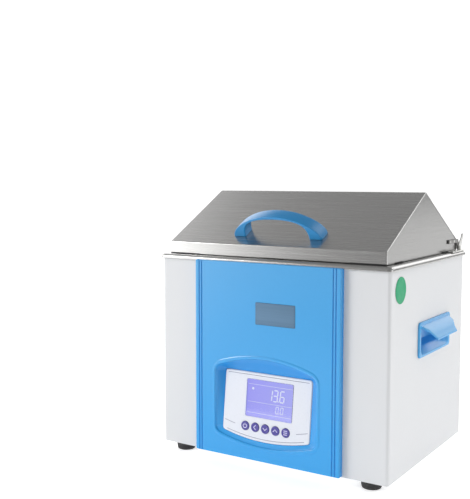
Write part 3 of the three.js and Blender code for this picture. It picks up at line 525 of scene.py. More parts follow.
def lcd_glow():
    """A backlit display: violet on the left and paler on the right, with a faint grid of picture cells."""
    finish = Finish("lcd_backlight", (0.12, 0.11, 0.4), 0.35, Emission_Strength=0.66)
    across = finish.ranged(finish.axis("X"), (DISPLAY.x - 40) * MM, (DISPLAY.x + 42) * MM)
    tint = finish.mixed(across, (0.42, 0.41, 1.0), (0.50, 0.53, 1.0))
    grid = finish.cells(1500)
    finish.links.new(finish.mixed(finish.ranged(grid, 0, 0.9, 0, 0.16), tint, (0.7, 0.7, 1.0)),
                     finish.shader.inputs["Emission Color"])
    finish.bump(grid, 0.00001)
    return finish.material


def rubber():
    finish = Finish("black_rubber", (0.028, 0.027, 0.029), 0.75)
    dust = finish.noise(260, detail=5, roughness=0.7)
    finish.mottle(dust, 0.45, 0.75, (0.024, 0.023, 0.025), (0.06, 0.058, 0.056))
    finish.roughen(dust, 0.62, 0.88)
    finish.bump(finish.noise(1200, detail=3), 0.00004)
    return finish.material


def solder_mask():
    finish = Finish("solder_mask", (0.02, 0.13, 0.05), 0.35)
    tracks = finish.noise((260, 260, 260), detail=0, distortion=2.5)
    edge = finish.ranged(tracks, 0.49, 0.52)
    finish.paint(finish.mixed(edge, (0.018, 0.12, 0.045), (0.035, 0.2, 0.08)))
    finish.bump(edge, 0.00004)
    return finish.material


def fibres():
    finish = Finish("glass_wool", (0.69, 0.58, 0.26), 0.95, Sheen_Weight=0.3)
    strands = finish.noise((90, 420, 420), detail=6, roughness=0.75, distortion=1.5)
    finish.mottle(strands, 0.35, 0.65, (0.5, 0.39, 0.14), (0.8, 0.7, 0.38))
    finish.bump(strands, 0.0012)
    return finish.material


def machined(name, color, rough=(0.22, 0.4)):
    """Turned metal: fine rings of tool marks and a patchy tarnish."""
    finish = Finish(name, color, rough[0], 1.0)
    patches = finish.noise(90, detail=4, roughness=0.65)
    finish.mottle(patches, 0.4, 0.7, shade(color, 1.08), shade(color, 0.72))
    finish.roughen(patches, *rough)
    finish.bump(finish.noise((500, 3600, 500), detail=2), 0.00001)
    return finish.material


def clear_window():
    finish = Finish("clear_window", (0.93, 0.94, 1.0), 0.04, IOR=1.46, Transmission_Weight=1.0)
    finish.roughen(finish.noise(160, detail=5), 0.02, 0.07)
    finish.bump(finish.noise(25, detail=1), 0.00002, 0.3)
    return finish.material


def printed_label():
    """A plain green film sticker."""
    color = (0.0, 0.35, 0.15)
    finish = Finish("green_film", color, 0.45, Specular_IOR_Level=0.25)
    finish.paint(finish.mixed(finish.noise(220, detail=3), shade(color, 0.85), shade(color, 1.12)))
    finish.roughen(finish.noise(90, detail=3), 0.3, 0.46)
    finish.bump(finish.noise(600, detail=2), 0.00002)
    return finish.material


# The blue panel's colour takes painted shade: darker low down, fading out upwards between these heights,
# and a painted shadow that darkens into its recess between these places along Y, all in metres.
SHADE_FADE = (0.06, 0.30)
RECESS_SHADE = [(TO_FRAME @ Vector((0, PANEL_FRONT + depth, 0))).y for depth in (0.8, 8)]
STEEL_COLOR = (0.48, 0.477, 0.47)
STEEL_ROUGH = (0.18, 0.30)
GLOSSY = {"height": 0.000002, "spread": 0.015}
MATERIAL = {
    "white_paint": powder_coat(),
    "steel_x": brushed("steel_brushed_across", STEEL_COLOR, STEEL_ROUGH, "x", 0.03),
    "steel_y": brushed("steel_brushed_back", STEEL_COLOR, STEEL_ROUGH, "y"),
    "steel_z": brushed("steel_brushed_up", STEEL_COLOR, STEEL_ROUGH, "z"),
    # A darker copy of the brushed steel, as painted shade on the lid's end plates.
    "shaded_steel_end": brushed("steel_end_plate", (0.375, 0.373, 0.368), STEEL_ROUGH, "y"),
    # A much lighter steel, as a painted highlight along the lid sheet's end edges.
    "painted_edge_highlight": brushed("steel_cut_edge", (0.72, 0.72, 0.71), STEEL_ROUGH, "y"),
    "plated_steel": brushed("zinc_plated_steel", (0.72, 0.72, 0.70), (0.3, 0.45), "z", 0.06),
    "dark_steel": brushed("dull_steel", (0.30, 0.295, 0.29), (0.34, 0.52), "y", 0.15, 0.00001),
    "blue_plastic": plastic("blue_moulding", (0.07, 0.37, 0.73), 0.24, **GLOSSY),
    # The panel's moulding carries painted shade low down and a painted shadow in its recess.
    "blue_panel": plastic("blue_panel_moulding", (0.08, 0.375, 0.74), 0.24, **GLOSSY,
                          shaded_foot_color=(0.035, 0.36, 0.79), recess_shade_color=(0.018, 0.275, 0.70)),
    # A darker blue for the lid's bow than the panel's, as painted shade.
    "shaded_blue_bow": plastic("blue_bow_moulding", (0.02, 0.24, 0.54), 0.32, **GLOSSY),
    "white_plastic": plastic("white_moulding", (0.80, 0.82, 0.88), 0.33),
    "button_plastic": plastic("violet_key", (0.085, 0.07, 0.33), 0.36, spread=0.05),
    "icon_print": plastic("pale_print", (0.66, 0.64, 0.88), 0.5),
    # Grey laid in the bezel's grooves, as painted shade.
    "groove_shade_paint": plastic("grey_groove_shade", (0.3, 0.3, 0.4), 0.5),
    "display": lcd_glow(),
    "clear_plastic": clear_window(),
    "circuit_board": solder_mask(),
    "badge": brushed("tinted_badge", (0.125, 0.21, 0.31), (0.3, 0.42), "x", 0.12),
    "green_label": printed_label(),
    "black_rubber": rubber(),
    "black_plastic": plastic("black_moulding", (0.018, 0.018, 0.02), 0.45, 900, 0.00004),
    "glass_wool": fibres(),
    "brass": machined("brass", (0.62, 0.42, 0.13)),
    "copper": machined("copper", (0.62, 0.27, 0.13), (0.28, 0.5)),
    "red_plastic": plastic("red_sleeve", (0.5, 0.03, 0.025), 0.4, 700, 0.00003),
}

digit_glow = Finish("lcd_digits", (0.4, 0.4, 0.5), 0.4, Emission_Strength=0.7)
digit_glow.shader.inputs["Emission Color"].default_value = (0.80, 0.83, 1.0, 1)
digit_glow.bump(digit_glow.noise(900, detail=2), 0.00001)
MATERIAL["lcd_digits"] = digit_glow.material

# ------------------------------------------------------------------ finishing a piece

# Edges that turn by more than this many degrees stay sharp in the shading.
SHARP = 32


def even_shading(made):
    made.modifiers.new("even_shading", "WEIGHTED_NORMAL").keep_sharp = True


def piece(name, shape, body, slot, material=None, replaces=None, cross_material=None):
    """Moves a shape into the frame as a named object with its finish, riding on a CAD body.

    Faces that look left or right take the cross material, because their grain runs another way; on the
    lid that material is also darker, as painted shade."""
    moved(shape, TO_FRAME)
    for face in shape.faces:
        face.smooth = True
        if cross_material and abs(face.normal.x) > 0.7:
            face.material_index = 1
    for edge in shape.edges:
        edge.smooth = len(edge.link_faces) == 2 and edge.calc_face_angle(0) < math.radians(SHARP)
    made = object_from(shape, name)
    made.data.materials.append(MATERIAL[material or slot])
    if cross_material:
        made.data.materials.append(MATERIAL[cross_material])
    even_shading(made)
    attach(made, body)
    if replaces:
        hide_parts(replaces)
    return made


def keep_cad(node, material, edge=0.3):
    """Shows a CAD node as it is, with its edges eased and its finish."""
    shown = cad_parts[node]
    shown.data.materials.clear()
    shown.data.materials.append(MATERIAL[material])
    shown.modifiers.new("weld", "WELD").merge_threshold = 0.00001
    ease_edges(shown, edge * MM, 2, SHARP)
    even_shading(shown)


# ------------------------------------------------------------------ cabinet


def cabinet():
    """The painted wrap, open behind the controls, behind each grip and at the rear."""
    def wall(inset, z):
        width, depth = 2 * (WALL_X - inset), 2 * (WALL_Y - inset)
        return level(rounded_rectangle(width, depth, CABINET.corner - inset), z)

    sheet, top = CABINET.sheet, CABINET_HIGH.z
    walls = loft([wall(0, 0), wall(0, top), wall(sheet, top), wall(sheet, 0)], closed=True)
    rear = (WALL_Y - PAST, WALL_Y + PAST)
    service = prism(rounded_rectangle(*OPENING.rear, OPENING.rear_corner, (0, CABINET.middle)), *rear, FRONT)
    across = (-OPENING.controls_half, OPENING.controls_half)
    controls = block(across, (-WALL_Y - PAST, -WALL_Y + PAST), OPENING.controls)
    grip = rounded_rectangle(2 * GRIP.tray + 1, OPENING.grip, OPENING.grip_corner, (GRIP.y, GRIP.z - 1))
    grips = prism(grip, -WALL_X - PAST, WALL_X + PAST, RIGHT)
    holes = [rod(CABINET.screw_hole, "y", rear, place, 20) for place in screw_places()]
    shape = eased(cut(walls, service, controls, grips, *holes), 0.4, 2)
    piece("cabinet_wrap", shape, "cabinet", "white_paint", replaces="cabinet_shell")


def screw_places():
    return [(x, z) for x in (-CABINET.screw_x, CABINET.screw_x) for z in CABINET.screw_z]


def feet():
    """Turned rubber feet: a stepped body with a rounded tread, and a neck that goes up into the cabinet."""
    profile = [(10.5, -11.4), (11, -12), (12.6, -12), (13.6, -11.5), (14, -10.5), (14.4, -9.6), (14.9, -7.2),
               (14.5, -6.9), (14.5, -6.5), (15, -6.2), (15.6, -2.8), (16, -2), (16, -0.6), (15.5, 0),
               (2.5, 0), (2.5, 7.2), (1.9, 8), (0.4, 8)]
    for name in ("front_left", "front_right", "rear_left", "rear_right"):
        low, high = size_of(f"foot_{name}")
        foot = shifted(lathe(profile, 56), (low.x + high.x) / 2, (low.y + high.y) / 2, 0)
        piece(f"rubber_foot_{name}", foot, "cabinet", "black_rubber", replaces=f"foot_{name}")


# ------------------------------------------------------------------ deck and tank


def border(width, depth, corner, inset, z):
    """A ring around the bath's middle: a rounded rectangle drawn in by inset, at height z."""
    return level(rounded_rectangle(width - 2 * inset, depth - 2 * inset, corner - inset, steps=12), z)


def mouth(outset, z):
    return border(TANK.width, TANK.depth, TANK.corner, -outset, z)


def deck():
    """A pressed steel top: rolled outer edge, turned-down lip around the tank's mouth."""
    top, bottom = DECK_TOP, DECK_LOW.z
    sheet, edge, lip = DECK.sheet, DECK.edge, DECK.lip

    def outer(inset, z):
        return border(2 * DECK_HIGH.x, 2 * DECK_HIGH.y, DECK.corner, inset, z)

    rings = [mouth(0, top - sheet)]
    rings += [mouth(lip * (1 - math.cos(a)), top - lip * (1 - math.sin(a))) for a in quarter(4)]
    rings += [outer(edge * (1 - math.sin(a)), top - edge * (1 - math.cos(a))) for a in quarter(7)]
    skirt = [(0.0, bottom + 0.5), (0.15, bottom + 0.15), (0.5, bottom), (sheet - 0.3, bottom),
             (sheet, bottom + 0.3), (sheet, top - sheet - 1.5), (sheet + 1.5, top - sheet)]
    rings += [outer(inset, z) for inset, z in skirt]
    piece("pressed_deck", loft(rings, closed=True), "cabinet", "stainless", "steel_x",
          replaces="deck_rim", cross_material="steel_y")


def tub_rings(grow, low, high, radius):
    """Rings of the tank's wall from its rim down to its floor."""
    corner = [mouth(grow - radius * (1 - math.cos(a)), low + radius * (1 - math.sin(a))) for a in quarter(8)]
    return [mouth(grow, high)] + corner


def tank():
    """A pressed tub with a flat flange, and holes for the heater, the sensor and the drain."""
    sheet, edge = TANK.sheet, TANK.rim
    rim, floor = TANK_HIGH.z, TANK_LOW.z + sheet
    inside = tub_rings(0, floor, rim - edge, TANK.floor_radius - sheet)
    outside = tub_rings(sheet, floor - sheet, rim - sheet, TANK.floor_radius)
    rolled = [mouth(edge * (1 - math.cos(a)), rim - edge * (1 - math.sin(a))) for a in quarter(4)[1:]]
    flange = [border(2 * TANK_HIGH.x, 2 * TANK_HIGH.y, TANK.flange_corner, 0, z) for z in (rim, rim - sheet)]
    body = loft(inside[::-1] + rolled + flange + outside)
    wall = (-TANK.width / 2 - 5, -TANK.width / 2 + 5)
    holes = [rod(HEATER.hole, "x", wall, (y, HEATER_Z)) for y in (-HEATER.bend, HEATER.bend)]
    holes.append(rod(SENSOR.hole, "x", wall, (SENSOR.y, HEATER_Z)))
    holes.append(rod(TANK.outlet_radius, "z", (floor - 5, floor + 5), TANK.outlet))
    piece("pressed_tank", cut(body, *holes), "cabinet", "stainless", "steel_x", replaces="tank",
          cross_material="steel_y")


def shelf():
    """A loose perforated plate on two folded legs."""
    low, high, foot = SHELF_HIGH.z - SHELF.sheet, SHELF_HIGH.z, SHELF_LOW.z
    plate = soft_box(2 * SHELF_HIGH.x, 2 * SHELF_HIGH.y, SHELF.corner, low, high, 0.5, steps=6,
                     lower_edge=0.4)
    leg = rounded_rectangle(SHELF.leg, low - foot + 0.8, 0.4, (0, (low + foot + 0.8) / 2), 2)
    legs = [prism(leg, y, y + SHELF.sheet, FRONT) for y in SHELF.leg_y]
    radius = SHELF.hole
    hole = [(radius + 0.6, high + 0.2), (radius + 0.5, high), (radius + 0.1, high - 0.3),
            (radius, high - 0.6), (radius, low - 0.5)]
    holes = []
    for column in range(SHELF.columns):
        for row in range(SHELF.rows):
            x = (column - (SHELF.columns - 1) / 2) * SHELF.pitch
            y = (row - (SHELF.rows - 1) / 2) * SHELF.pitch
            holes.append(shifted(lathe(hole, 32), x, y, 0))
    piece("shelf_plate", cut(join(plate, *legs), gathered(*holes)), "shelf", "stainless", "steel_x",
          replaces="perforated_shelf", cross_material="steel_y")


def heater():
    """A hairpin of steel tube lying along the tank's floor."""
    bend = HEATER.bend
    straight = (-TANK.width / 2 - HEATER.tail, *HEATER.straight)
    path = [(x, -bend) for x in straight] + arc((HEATER.end, 0), bend, -90, 90, 24)
    path += [(x, bend) for x in reversed(straight)]
    rings = []
    for number, (x, y) in enumerate(path):
        along = direction_at(path, number)
        side = Vector((along.y, -along.x, 0))
        section = circle(HEATER.radius, 20)
        rings.append([Vector((x, y, HEATER_Z)) + side * u + Vector((0, 0, v)) for u, v in section])
    piece("heater_tube", loft(rings), "cabinet", "stainless", "steel_z", replaces="heater_element")


def direction_at(path, number):
    """The direction of a line of points at one of them."""
    before = Vector(path[max(number - 1, 0)])
    after = Vector(path[min(number + 1, len(path) - 1)])
    return (after - before).normalized()


# ------------------------------------------------------------------ lid


def on_slope(shape):
    """Moves a shape drawn flat (x across, y up the slope from the eave) onto the lid's front slope."""
    return moved(shape, Matrix.Translation((0, -LID_HALF, EAVE)) @ Matrix.Rotation(SLOPE, 4, "X"))


def gable(inset, below=0.0):
    half = LID_HALF - inset
    drop = inset / math.cos(SLOPE)
    shoulder = EAVE + inset * math.tan(SLOPE) - drop
    return [
        (-half, LID_BOTTOM - below), (half, LID_BOTTOM - below), (half, shoulder), (0, RIDGE - drop),
        (-half, shoulder),
    ]


def lid():
    """Folded sheet wrapped over two end plates that sit a little inside its edge."""
    half, sheet, margin, recess = LID_HIGH.x, LID.sheet, LID.margin, LID.recess
    outer = eased(prism(gable(0), -half, half, RIGHT), LID.fold, 4, 15)
    inner = prism(gable(sheet, 1), -half + sheet, half - sheet, RIGHT)
    ends = [prism(gable(margin, 1), side * half - recess, side * half + recess, RIGHT) for side in (-1, 1)]
    holes = [on_slope(rod(2.3, "z", (-5, 5), (x, BAR_MIDDLE), 20)) for x in BAR.screws]
    shape = cut(outer, inner, *ends, *holes, gathered(*pad_notches()))
    # The faces looking left or right take a darker steel, as painted shade on the end plates.
    made = piece("folded_lid", shape, "lid", "stainless", "steel_x", replaces="lid_shell",
                 cross_material="shaded_steel_end")
    # The sheet's end edges take a much lighter steel, as a painted highlight.
    made.data.materials.append(MATERIAL["painted_edge_highlight"])
    for face in made.data.polygons:
        if abs(face.center.x) > (half - 0.1) * MM:
            face.material_index = 2


def pad_notches():
    """Shallow notches in the lid's lower edge, where the pads are pushed on."""
    wall = 5
    height = (LID_BOTTOM - 2, PAD_SEAT)
    front, end = (-LID_HALF - 1, -LID_HALF + wall), (LID_HIGH.x - wall, LID_HIGH.x + 1)
    notches = []
    for _, turn in SIDES:
        for name, (start, stop) in PAD_ENDS.items():
            along = (start - GAP, stop + GAP)
            notch = block(along, front, height) if name == "front" else block(end, along, height)
            notches.append(turn(notch))
    return notches


def lid_handle():
    """A broad moulded bow with a crowned back, standing across the front slope."""
    spread, span, height, clear = BAR.spread, BAR.span, BAR.height, BAR.clear
    steps = 22
    outer = [(-spread, 0)]
    outer += bezier(outer[-1], (-spread, height * 0.4), (-spread * 0.55, height), (0, height), steps=steps)
    outer += bezier(outer[-1], (spread * 0.55, height), (spread, height * 0.4), (spread, 0), steps=steps)
    inner = [(-span, 0)]
    inner += bezier(inner[-1], (-span, clear * 0.57), (-span * 0.9, clear), (0, clear), steps=steps)
    inner += bezier(inner[-1], (span * 0.9, clear), (span, clear * 0.57), (span, 0), steps=steps)
    rings = []
    for (outer_x, outer_z), (inner_x, inner_z) in zip(outer, inner):
        back, underside = Vector((outer_x, 0, outer_z)), Vector((inner_x, 0, inner_z))
        middle, thick = underside.lerp(back, 0.5), (back - underside).length
        up = (back - underside) / 2
        rings.append([middle + up * v + Vector((0, u, 0)) for u, v in bow_section(BAR.width / 2, thick)])
    bow = moved(loft(rings), Matrix.Translation((0, BAR_MIDDLE, GAP)))
    screws = [rod(1.9, "z", (-5, 9), (x, BAR_MIDDLE), 16) for x in BAR.screws]
    trim = block((-100, 100), (0, 80), (-PAST, GAP))
    # The bow takes a darker blue than the panel, as painted shade.
    piece("bow_handle", on_slope(cut(bow, trim, *screws)), "lid", "blue_plastic", "shaded_blue_bow",
          replaces="lid_handle")


def bow_section(half, thick):
    """The bow's section: u across its width in mm, v from -1 (underside) to 1 (back), edges rounded."""
    radius = min(1.5, thick * 0.24)
    relative = radius / (thick / 2)
    points = []
    for sign_u, sign_v, start in ((1, 1, 0), (-1, 1, 90), (-1, -1, 180), (1, -1, 270)):
        for u, v in arc((0, 0), 1, start, start + 90, 5):
            points.append((sign_u * (half - radius) + radius * u, sign_v * (1 - relative) + relative * v))
        if sign_u == 1 and sign_v == 1:
            for step in range(1, 8):
                u = (half - radius) * (1 - step / 4)
                rise = BAR.crown / (thick / 2) * (1 - (u / (half - radius)) ** 2)
                points.append((u, 1 + rise * 0.6))
    return points


def handle_screws():
    """Pan-head screws that come up from inside the lid into the handle's feet."""
    head = -LID.sheet - GAP
    profile = [(1.2, head - 1.4), (1.3, head - 2.4), (2.6, head - 2.4), (3.5, head - 2.0), (4, head - 1.2),
               (4, head - 0.2), (3.8, head), (1.6, head), (1.6, 7.6), (1.2, 8)]
    for side, x in zip(("left", "right"), BAR.screws):
        shape = on_slope(shifted(lathe(profile, 32), x, BAR_MIDDLE, 0))
        piece(f"bow_screw_{side}", shape, "lid", "dark_steel", replaces=f"lid_handle_screw_{side}")


def pad_section():
    """A rubber channel over the lid's lower edge: u outwards from the wall's outer face, v up."""
    inner = -LID.sheet - GAP
    back, lip = inner - PADS.leg, GAP + PADS.lip
    low, sole, high = DECK_TOP + GAP, PAD_SEAT - GAP, PAD_SEAT + PADS.inside
    return [
        (back, low + 0.3), (back + 0.3, low), (lip - 0.3, low), (lip, low + 0.3), (lip, PAD_SEAT + 0.3),
        (lip - 0.2, PAD_SEAT + 0.5), (GAP, PAD_SEAT + 0.5), (GAP, sole), (inner, sole), (inner, high),
        (back, high),
    ]


def bumpers():
    """Soft channels pushed up over the lid's edge at its front corners and along its ends."""
    def section(name, along, u, v):
        return Vector((along, -LID_HALF - u, v)) if name == "front" else Vector((LID_HIGH.x + u, along, v))

    for side, turn in SIDES:
        for name, ends in PAD_ENDS.items():
            rings = [[section(name, along, u, v) for u, v in pad_section()] for along in ends]
            piece(f"pad_{name}_{side}", turn(loft(rings)), "lid", "black_rubber",
                  replaces=f"lid_bumper_{name}_{side}")


# ------------------------------------------------------------------ hinges, drawn for the right end

STRAP_X = (LID_HIGH.x + GAP, LID_HIGH.x + GAP + BRACKET.sheet)
EAR_X = (STRAP_X[1] + GAP, STRAP_X[1] + GAP + BRACKET.sheet)
PIVOT_CENTRE = (PIVOT.y, PIVOT.z)


def pivot_hole():
    return rod(PIVOT.pin + GAP, "x", (180, 195), PIVOT_CENTRE)


def hinge_strap():
    """A flat blade on the lid's end plate, cranked down to the pivot's eye."""
    low, high, front = STRAP.low, STRAP.high, STRAP.front
    blade = [(front, low), (141, low), (PIVOT.y - 4.05, PIVOT.z - 1.5), (PIVOT.y + 3.6, PIVOT.z + 2),
             (149, high), (front, high)]
    body = join(prism(blade, *STRAP_X, RIGHT), rod(PIVOT.ear, "x", STRAP_X, PIVOT_CENTRE, 40))
    return eased(cut(body, pivot_hole()), 0.25, 2)


def strap_rivets():
    """Two dome heads that hold the strap to the lid's end plate."""
    dome = [(2.2, 0), (2.2, 0.25), (1.9, 0.7), (1.2, 1.0), (0.3, 1.1)]
    z = (STRAP.low + STRAP.high) / 2
    return gathered(*[pointing_right(lathe(dome, 24), STRAP_X[1], y, z) for y in STRAP.rivets])


def hinge_bracket():
    """A foot on the deck and an upright ear whose raised tip is bent in as the open lid's stop."""
    foot = DECK_TOP + GAP
    ear = [(146.5, foot), (157.5, foot), (162.5, 317), (171, 331), (167.5, 334.8), (159.5, 327), (150, 319),
           (146.5, 314)]
    stop = [(168, 328), (169.2, 328), (171, 331), (168.3, 333.6)]
    body = join(
        prism(ear, *EAR_X, RIGHT),
        prism(stop, STRAP_X[0], EAR_X[1], RIGHT),
        prism(rounded_rectangle(9.9, 62.5, 1.5, (192.55, 126.25), 4), foot, foot + BRACKET.sheet),
    )
    through = (foot - 1, foot + 3)
    holes = [rod(BRACKET.screw_hole, "z", through, (BRACKET.screw_x, y), 20) for y in BRACKET.screws]
    return eased(cut(body, *holes, pivot_hole()), 0.25, 2)


def bracket_screws():
    """The two slotted screws that hold the bracket's foot to the deck."""
    top = DECK_TOP + GAP + BRACKET.sheet
    profile = [(1.5, top - 3.2), (1.5, top + 0.05), (3.0, top + 0.05), (3.1, top + 0.5), (2.5, top + 1.4),
               (1.2, top + 1.75)]
    screws = []
    for y in BRACKET.screws:
        slot = block((-3.4, 3.4), (-0.35, 0.35), (top + 1.0, top + 3))
        screws.append(shifted(cut(lathe(profile, 24), slot), BRACKET.screw_x, y, 0))
    return gathered(*screws)


def hinge_pin():
    """A pin with a flat head inside the strap and a rounded one outside the ear."""
    inner, outer, radius = STRAP_X[0] - GAP, EAR_X[1] + GAP, PIVOT.pin
    profile = [(0.5, inner - 1.2), (3.0, inner - 1.2), (3.4, inner - 0.8), (3.4, inner), (radius, inner),
               (radius, outer), (3.6, outer), (3.6, outer + 0.8), (3.2, outer + 1.4), (2.4, outer + 1.8),
               (0.5, outer + 1.8)]
    return pointing_right(lathe(profile, 32), 0, *PIVOT_CENTRE)


def hinges():
    bracket_parts = (
        ("bracket", hinge_bracket, "stainless", "hinge_bracket"),
        ("bracket_screws", bracket_screws, "dark_steel", None),
        ("pivot", hinge_pin, "dark_steel", "hinge_pin"),
    )
    for side, turn in SIDES:
        piece(f"strap_{side}", turn(hinge_strap()), "lid", "dark_steel", replaces=f"hinge_strap_{side}")
        piece(f"strap_rivets_{side}", turn(strap_rivets()), "lid", "dark_steel", "plated_steel")
        for name, drawn, slot, node in bracket_parts:
            piece(f"{name}_{side}", turn(drawn()), "cabinet", slot, "plated_steel",
                  replaces=node and f"{node}_{side}")


# ------------------------------------------------------------------ control panel


def on_bezel(shape):
    """Moves a shape drawn in (x, panel height, outwards) onto the bezel's leaning plane."""
    lean = Matrix.Rotation(math.pi / 2 - BEZEL_TILT, 4, "X")
    drop = Matrix.Translation((0, -BEZEL.bottom_middle, 0))
    raise_up = Matrix.Translation((0, PANEL_FRONT + BEZEL.depth_bottom, BEZEL.bottom_middle))
    return moved(shape, raise_up @ lean @ drop)


def bezel_plane(z):
    return PANEL_FRONT + BEZEL.depth_bottom + (z - BEZEL.bottom_middle) * math.tan(BEZEL_TILT)


def scoop_cutter():
    """The recess around the bezel: a rounded lip at its mouth, then walls that slope in to the bezel."""
    lip = SCOOP.lip
    mouth = scoop_outline(0)
    seat = bezel_outline(GAP)
    outwards = scoop_outline(1)
    rings = []
    rounding = [(1 - math.sin(a), lip * (1 - math.cos(a)) - SCOOP.proud) for a in quarter(6)[1:]]
    for share, depth in [(1, -8), (1, -SCOOP.proud - 0.01)] + rounding:
        ring = []
        for (x, z), (wide_x, wide_z) in zip(mouth, outwards):
            grow = lip * share
            ring.append(Vector((x + (wide_x - x) * grow, PANEL_FRONT + depth, z + (wide_z - z) * grow)))
        rings.append(ring)
    last = rings[-1]
    for inward, deeper in ((0.05, 0.20), (0.12, 0.32), (0.3, 0.48), (0.6, 0.74), (0.85, 0.92), (1.0, 1.0)):
        ring = []
        for start, (x, z) in zip(last, seat):
            floor = Vector((x, bezel_plane(z) + BEZEL.step, z))
            point = start.lerp(floor, inward)
            point.y = start.y + (floor.y - start.y) * deeper
            ring.append(point)
        rings.append(ring)
    return loft(rings)


def groove_cutter(x):
    width, depth = GROOVE.width, GROOVE.depth
    profile = [(-width * 0.85, -0.5), (-width * 0.85, 0), (-width * 0.6, 0.08), (-width * 0.5, 0.35)]
    profile += [(-width * 0.4, depth * 0.85), (-width * 0.2, depth)]
    outline = profile + [(-u, v) for u, v in reversed(profile)]
    return prism([(x + u, PANEL_FRONT + v) for u, v in outline], PANEL_LOW.z - 2, PANEL_HIGH.z + 2)


def front_panel():
    """A moulded shell with a scooped recess for the bezel, two grooves down each side, and a raised rim."""
    width, height = 2 * PANEL_HIGH.x, PANEL_HIGH.z - PANEL_LOW.z
    middle = (PANEL_HIGH.z + PANEL_LOW.z) / 2
    skin = PANEL.skin

    def outline_at(inset):
        corner = max(PANEL.corner - inset, 0.3)
        return rounded_rectangle(width - 2 * inset, height - 2 * inset, corner, (0, middle), 5)

    face = front_slab(outline_at, PANEL_FRONT, PANEL_BACK, PANEL.edge, 5)
    inside = rounded_rectangle(width - 2 * skin, height - 2 * skin, 2, (0, middle))
    hollow = prism(inside, PANEL_FRONT + skin, PANEL_BACK + 1, FRONT)
    dish = prism(scoop_outline(skin), PANEL_FRONT + 1, PANEL_BACK, FRONT)
    sleeve = prism(bezel_outline(PANEL.sleeve), PANEL_FRONT + 1, PANEL_BACK + 10, FRONT)
    pocket = on_bezel(prism(bezel_outline(GAP), -BEZEL.thickness - GAP, 30))
    window = on_bezel(prism(bezel_outline(-4), -40, 30))
    notch = block((-130, 130), (PANEL_BACK - 4.6, PANEL_BACK + 1), (CABINET_HIGH.z - 5.6, PANEL_HIGH.z + 1))
    low, high = size_of("nameplate")
    centre = ((high.x + low.x) / 2, (high.z + low.z) / 2)
    seat = rounded_rectangle(
        high.x - low.x + 2 * GAP, high.z - low.z + 2 * GAP, BADGE.corner + GAP, centre, 6)
    plate = prism(seat, low.y - 2, high.y + GAP, FRONT)
    body = join(cut(face, hollow), dish, sleeve, scoop_rim())
    grooves = [groove_cutter(side * x) for x in GROOVE.places for side in (-1, 1)]
    shape = cut(body, scoop_cutter(), pocket, window, notch, plate, *grooves)
    piece("panel_moulding", shape, "cabinet", "blue_plastic", "blue_panel", replaces="front_panel")


def scoop_rim():
    """The low bead around the recess, with a rounded shoulder."""
    profile = [(SCOOP.rim, -1), (SCOOP.rim, 0)]
    for angle in quarter(7)[1:]:
        grow = SCOOP.rim - SCOOP.shoulder * angle / (math.pi / 2)
        profile.append((grow, SCOOP.proud * math.sin(angle)))
    profile.append((0.5, SCOOP.proud))
    rings = []
    for grow, proud in profile:
        rings.append([Vector((x, PANEL_FRONT - proud, z)) for x, z in scoop_outline(grow)])
    return loft(rings)


def nameplate():
    """A blank brushed plate with a fine engraved border."""
    low, high = size_of("nameplate")
    width, height = high.x - low.x, high.z - low.z
    centre = ((high.x + low.x) / 2, (high.z + low.z) / 2)

    def outline_at(inset):
        radius = max(BADGE.corner - inset, 0.2)
        return rounded_rectangle(width - 2 * inset, height - 2 * inset, radius, centre, 6)

    plate = front_slab(outline_at, low.y, high.y, 0.25, 3)
    outside, inside = BADGE.border, BADGE.border + BADGE.line
    above, foot = low.y - 1, low.y + BADGE.line_depth
    section = ((outside, above), (inside, above), (inside, foot), (outside, foot))
    line = loft([[Vector((x, y, z)) for x, z in outline_at(inset)] for inset, y in section], closed=True)
    piece("badge_plate", cut(plate, line), "cabinet", "badge", replaces="nameplate")


def bezel():
    """The controls' white face, with an opening for the display and a flared hole for each key."""
    face = soft_slab(lambda inset: bezel_outline(-inset), -BEZEL.thickness, 0, BEZEL.rounding, steps=7)
    window = rounded_rectangle(DISPLAY.width, DISPLAY.height, 2, (DISPLAY.x, DISPLAY.z), 5)
    radius = BUTTON.radius
    flare = [(radius + 0.9, 0.3), (radius + 0.75, 0), (radius + 0.4, -0.3), (radius + GAP, -0.8),
             (radius + GAP, -10)]
    holes = [shifted(lathe(flare, 40), x, BUTTON.z, 0) for x in button_places()]
    shape = cut(face, prism(window, -10, 5), gathered(*holes), *bezel_lines(0.9, -0.7, 2))
    piece("bezel_moulding", on_bezel(shape), "cabinet", "white_plastic", replaces="control_bezel")
    # Grey strips laid in the grooves' floors, as painted shade.
    shade_strips = gathered(*bezel_lines(0.84, -0.68, -0.45))
    piece("bezel_line_inlay", on_bezel(shade_strips), "cabinet", "white_plastic", "groove_shade_paint")


def strip(points, width, low, high):
    """A flat strip of even width along a line of points."""
    left, right = [], []
    for number, point in enumerate(points):
        along = direction_at(points, number)
        side = Vector((-along.y, along.x)) * width / 2
        left.append(tuple(Vector(point) + side))
        right.append(tuple(Vector(point) - side))
    return prism(right + left[::-1], low, high)


def bezel_lines(width, low, high):
    """The fine lines moulded into the bezel: along its top, along its bowed foot, and two short tails."""
    top = BEZEL.top - 4.2
    reach = BEZEL.half - 5
    lines = [strip([(-reach, top), (reach, top)], width, low, high)]
    for above, start, end in ((4.2, -67, 67), (16.5, -72, -53), (16.5, 53, 72)):
        lines.append(strip(bowed(above, start, end), width, low, high))
    return lines


def bowed(above, start, end, steps=13):
    """Points parallel to the bezel's bowed lower edge."""
    points = []
    for step in range(steps):
        x = start + (end - start) * step / (steps - 1)
        rise = (BEZEL.bottom_edge - BEZEL.bottom_middle) * (x / BEZEL.half) ** 2
        points.append((x, BEZEL.bottom_middle + above + rise))
    return points


def button_places():
    return [BUTTON.x + (number - 2) * BUTTON.pitch for number in range(5)]


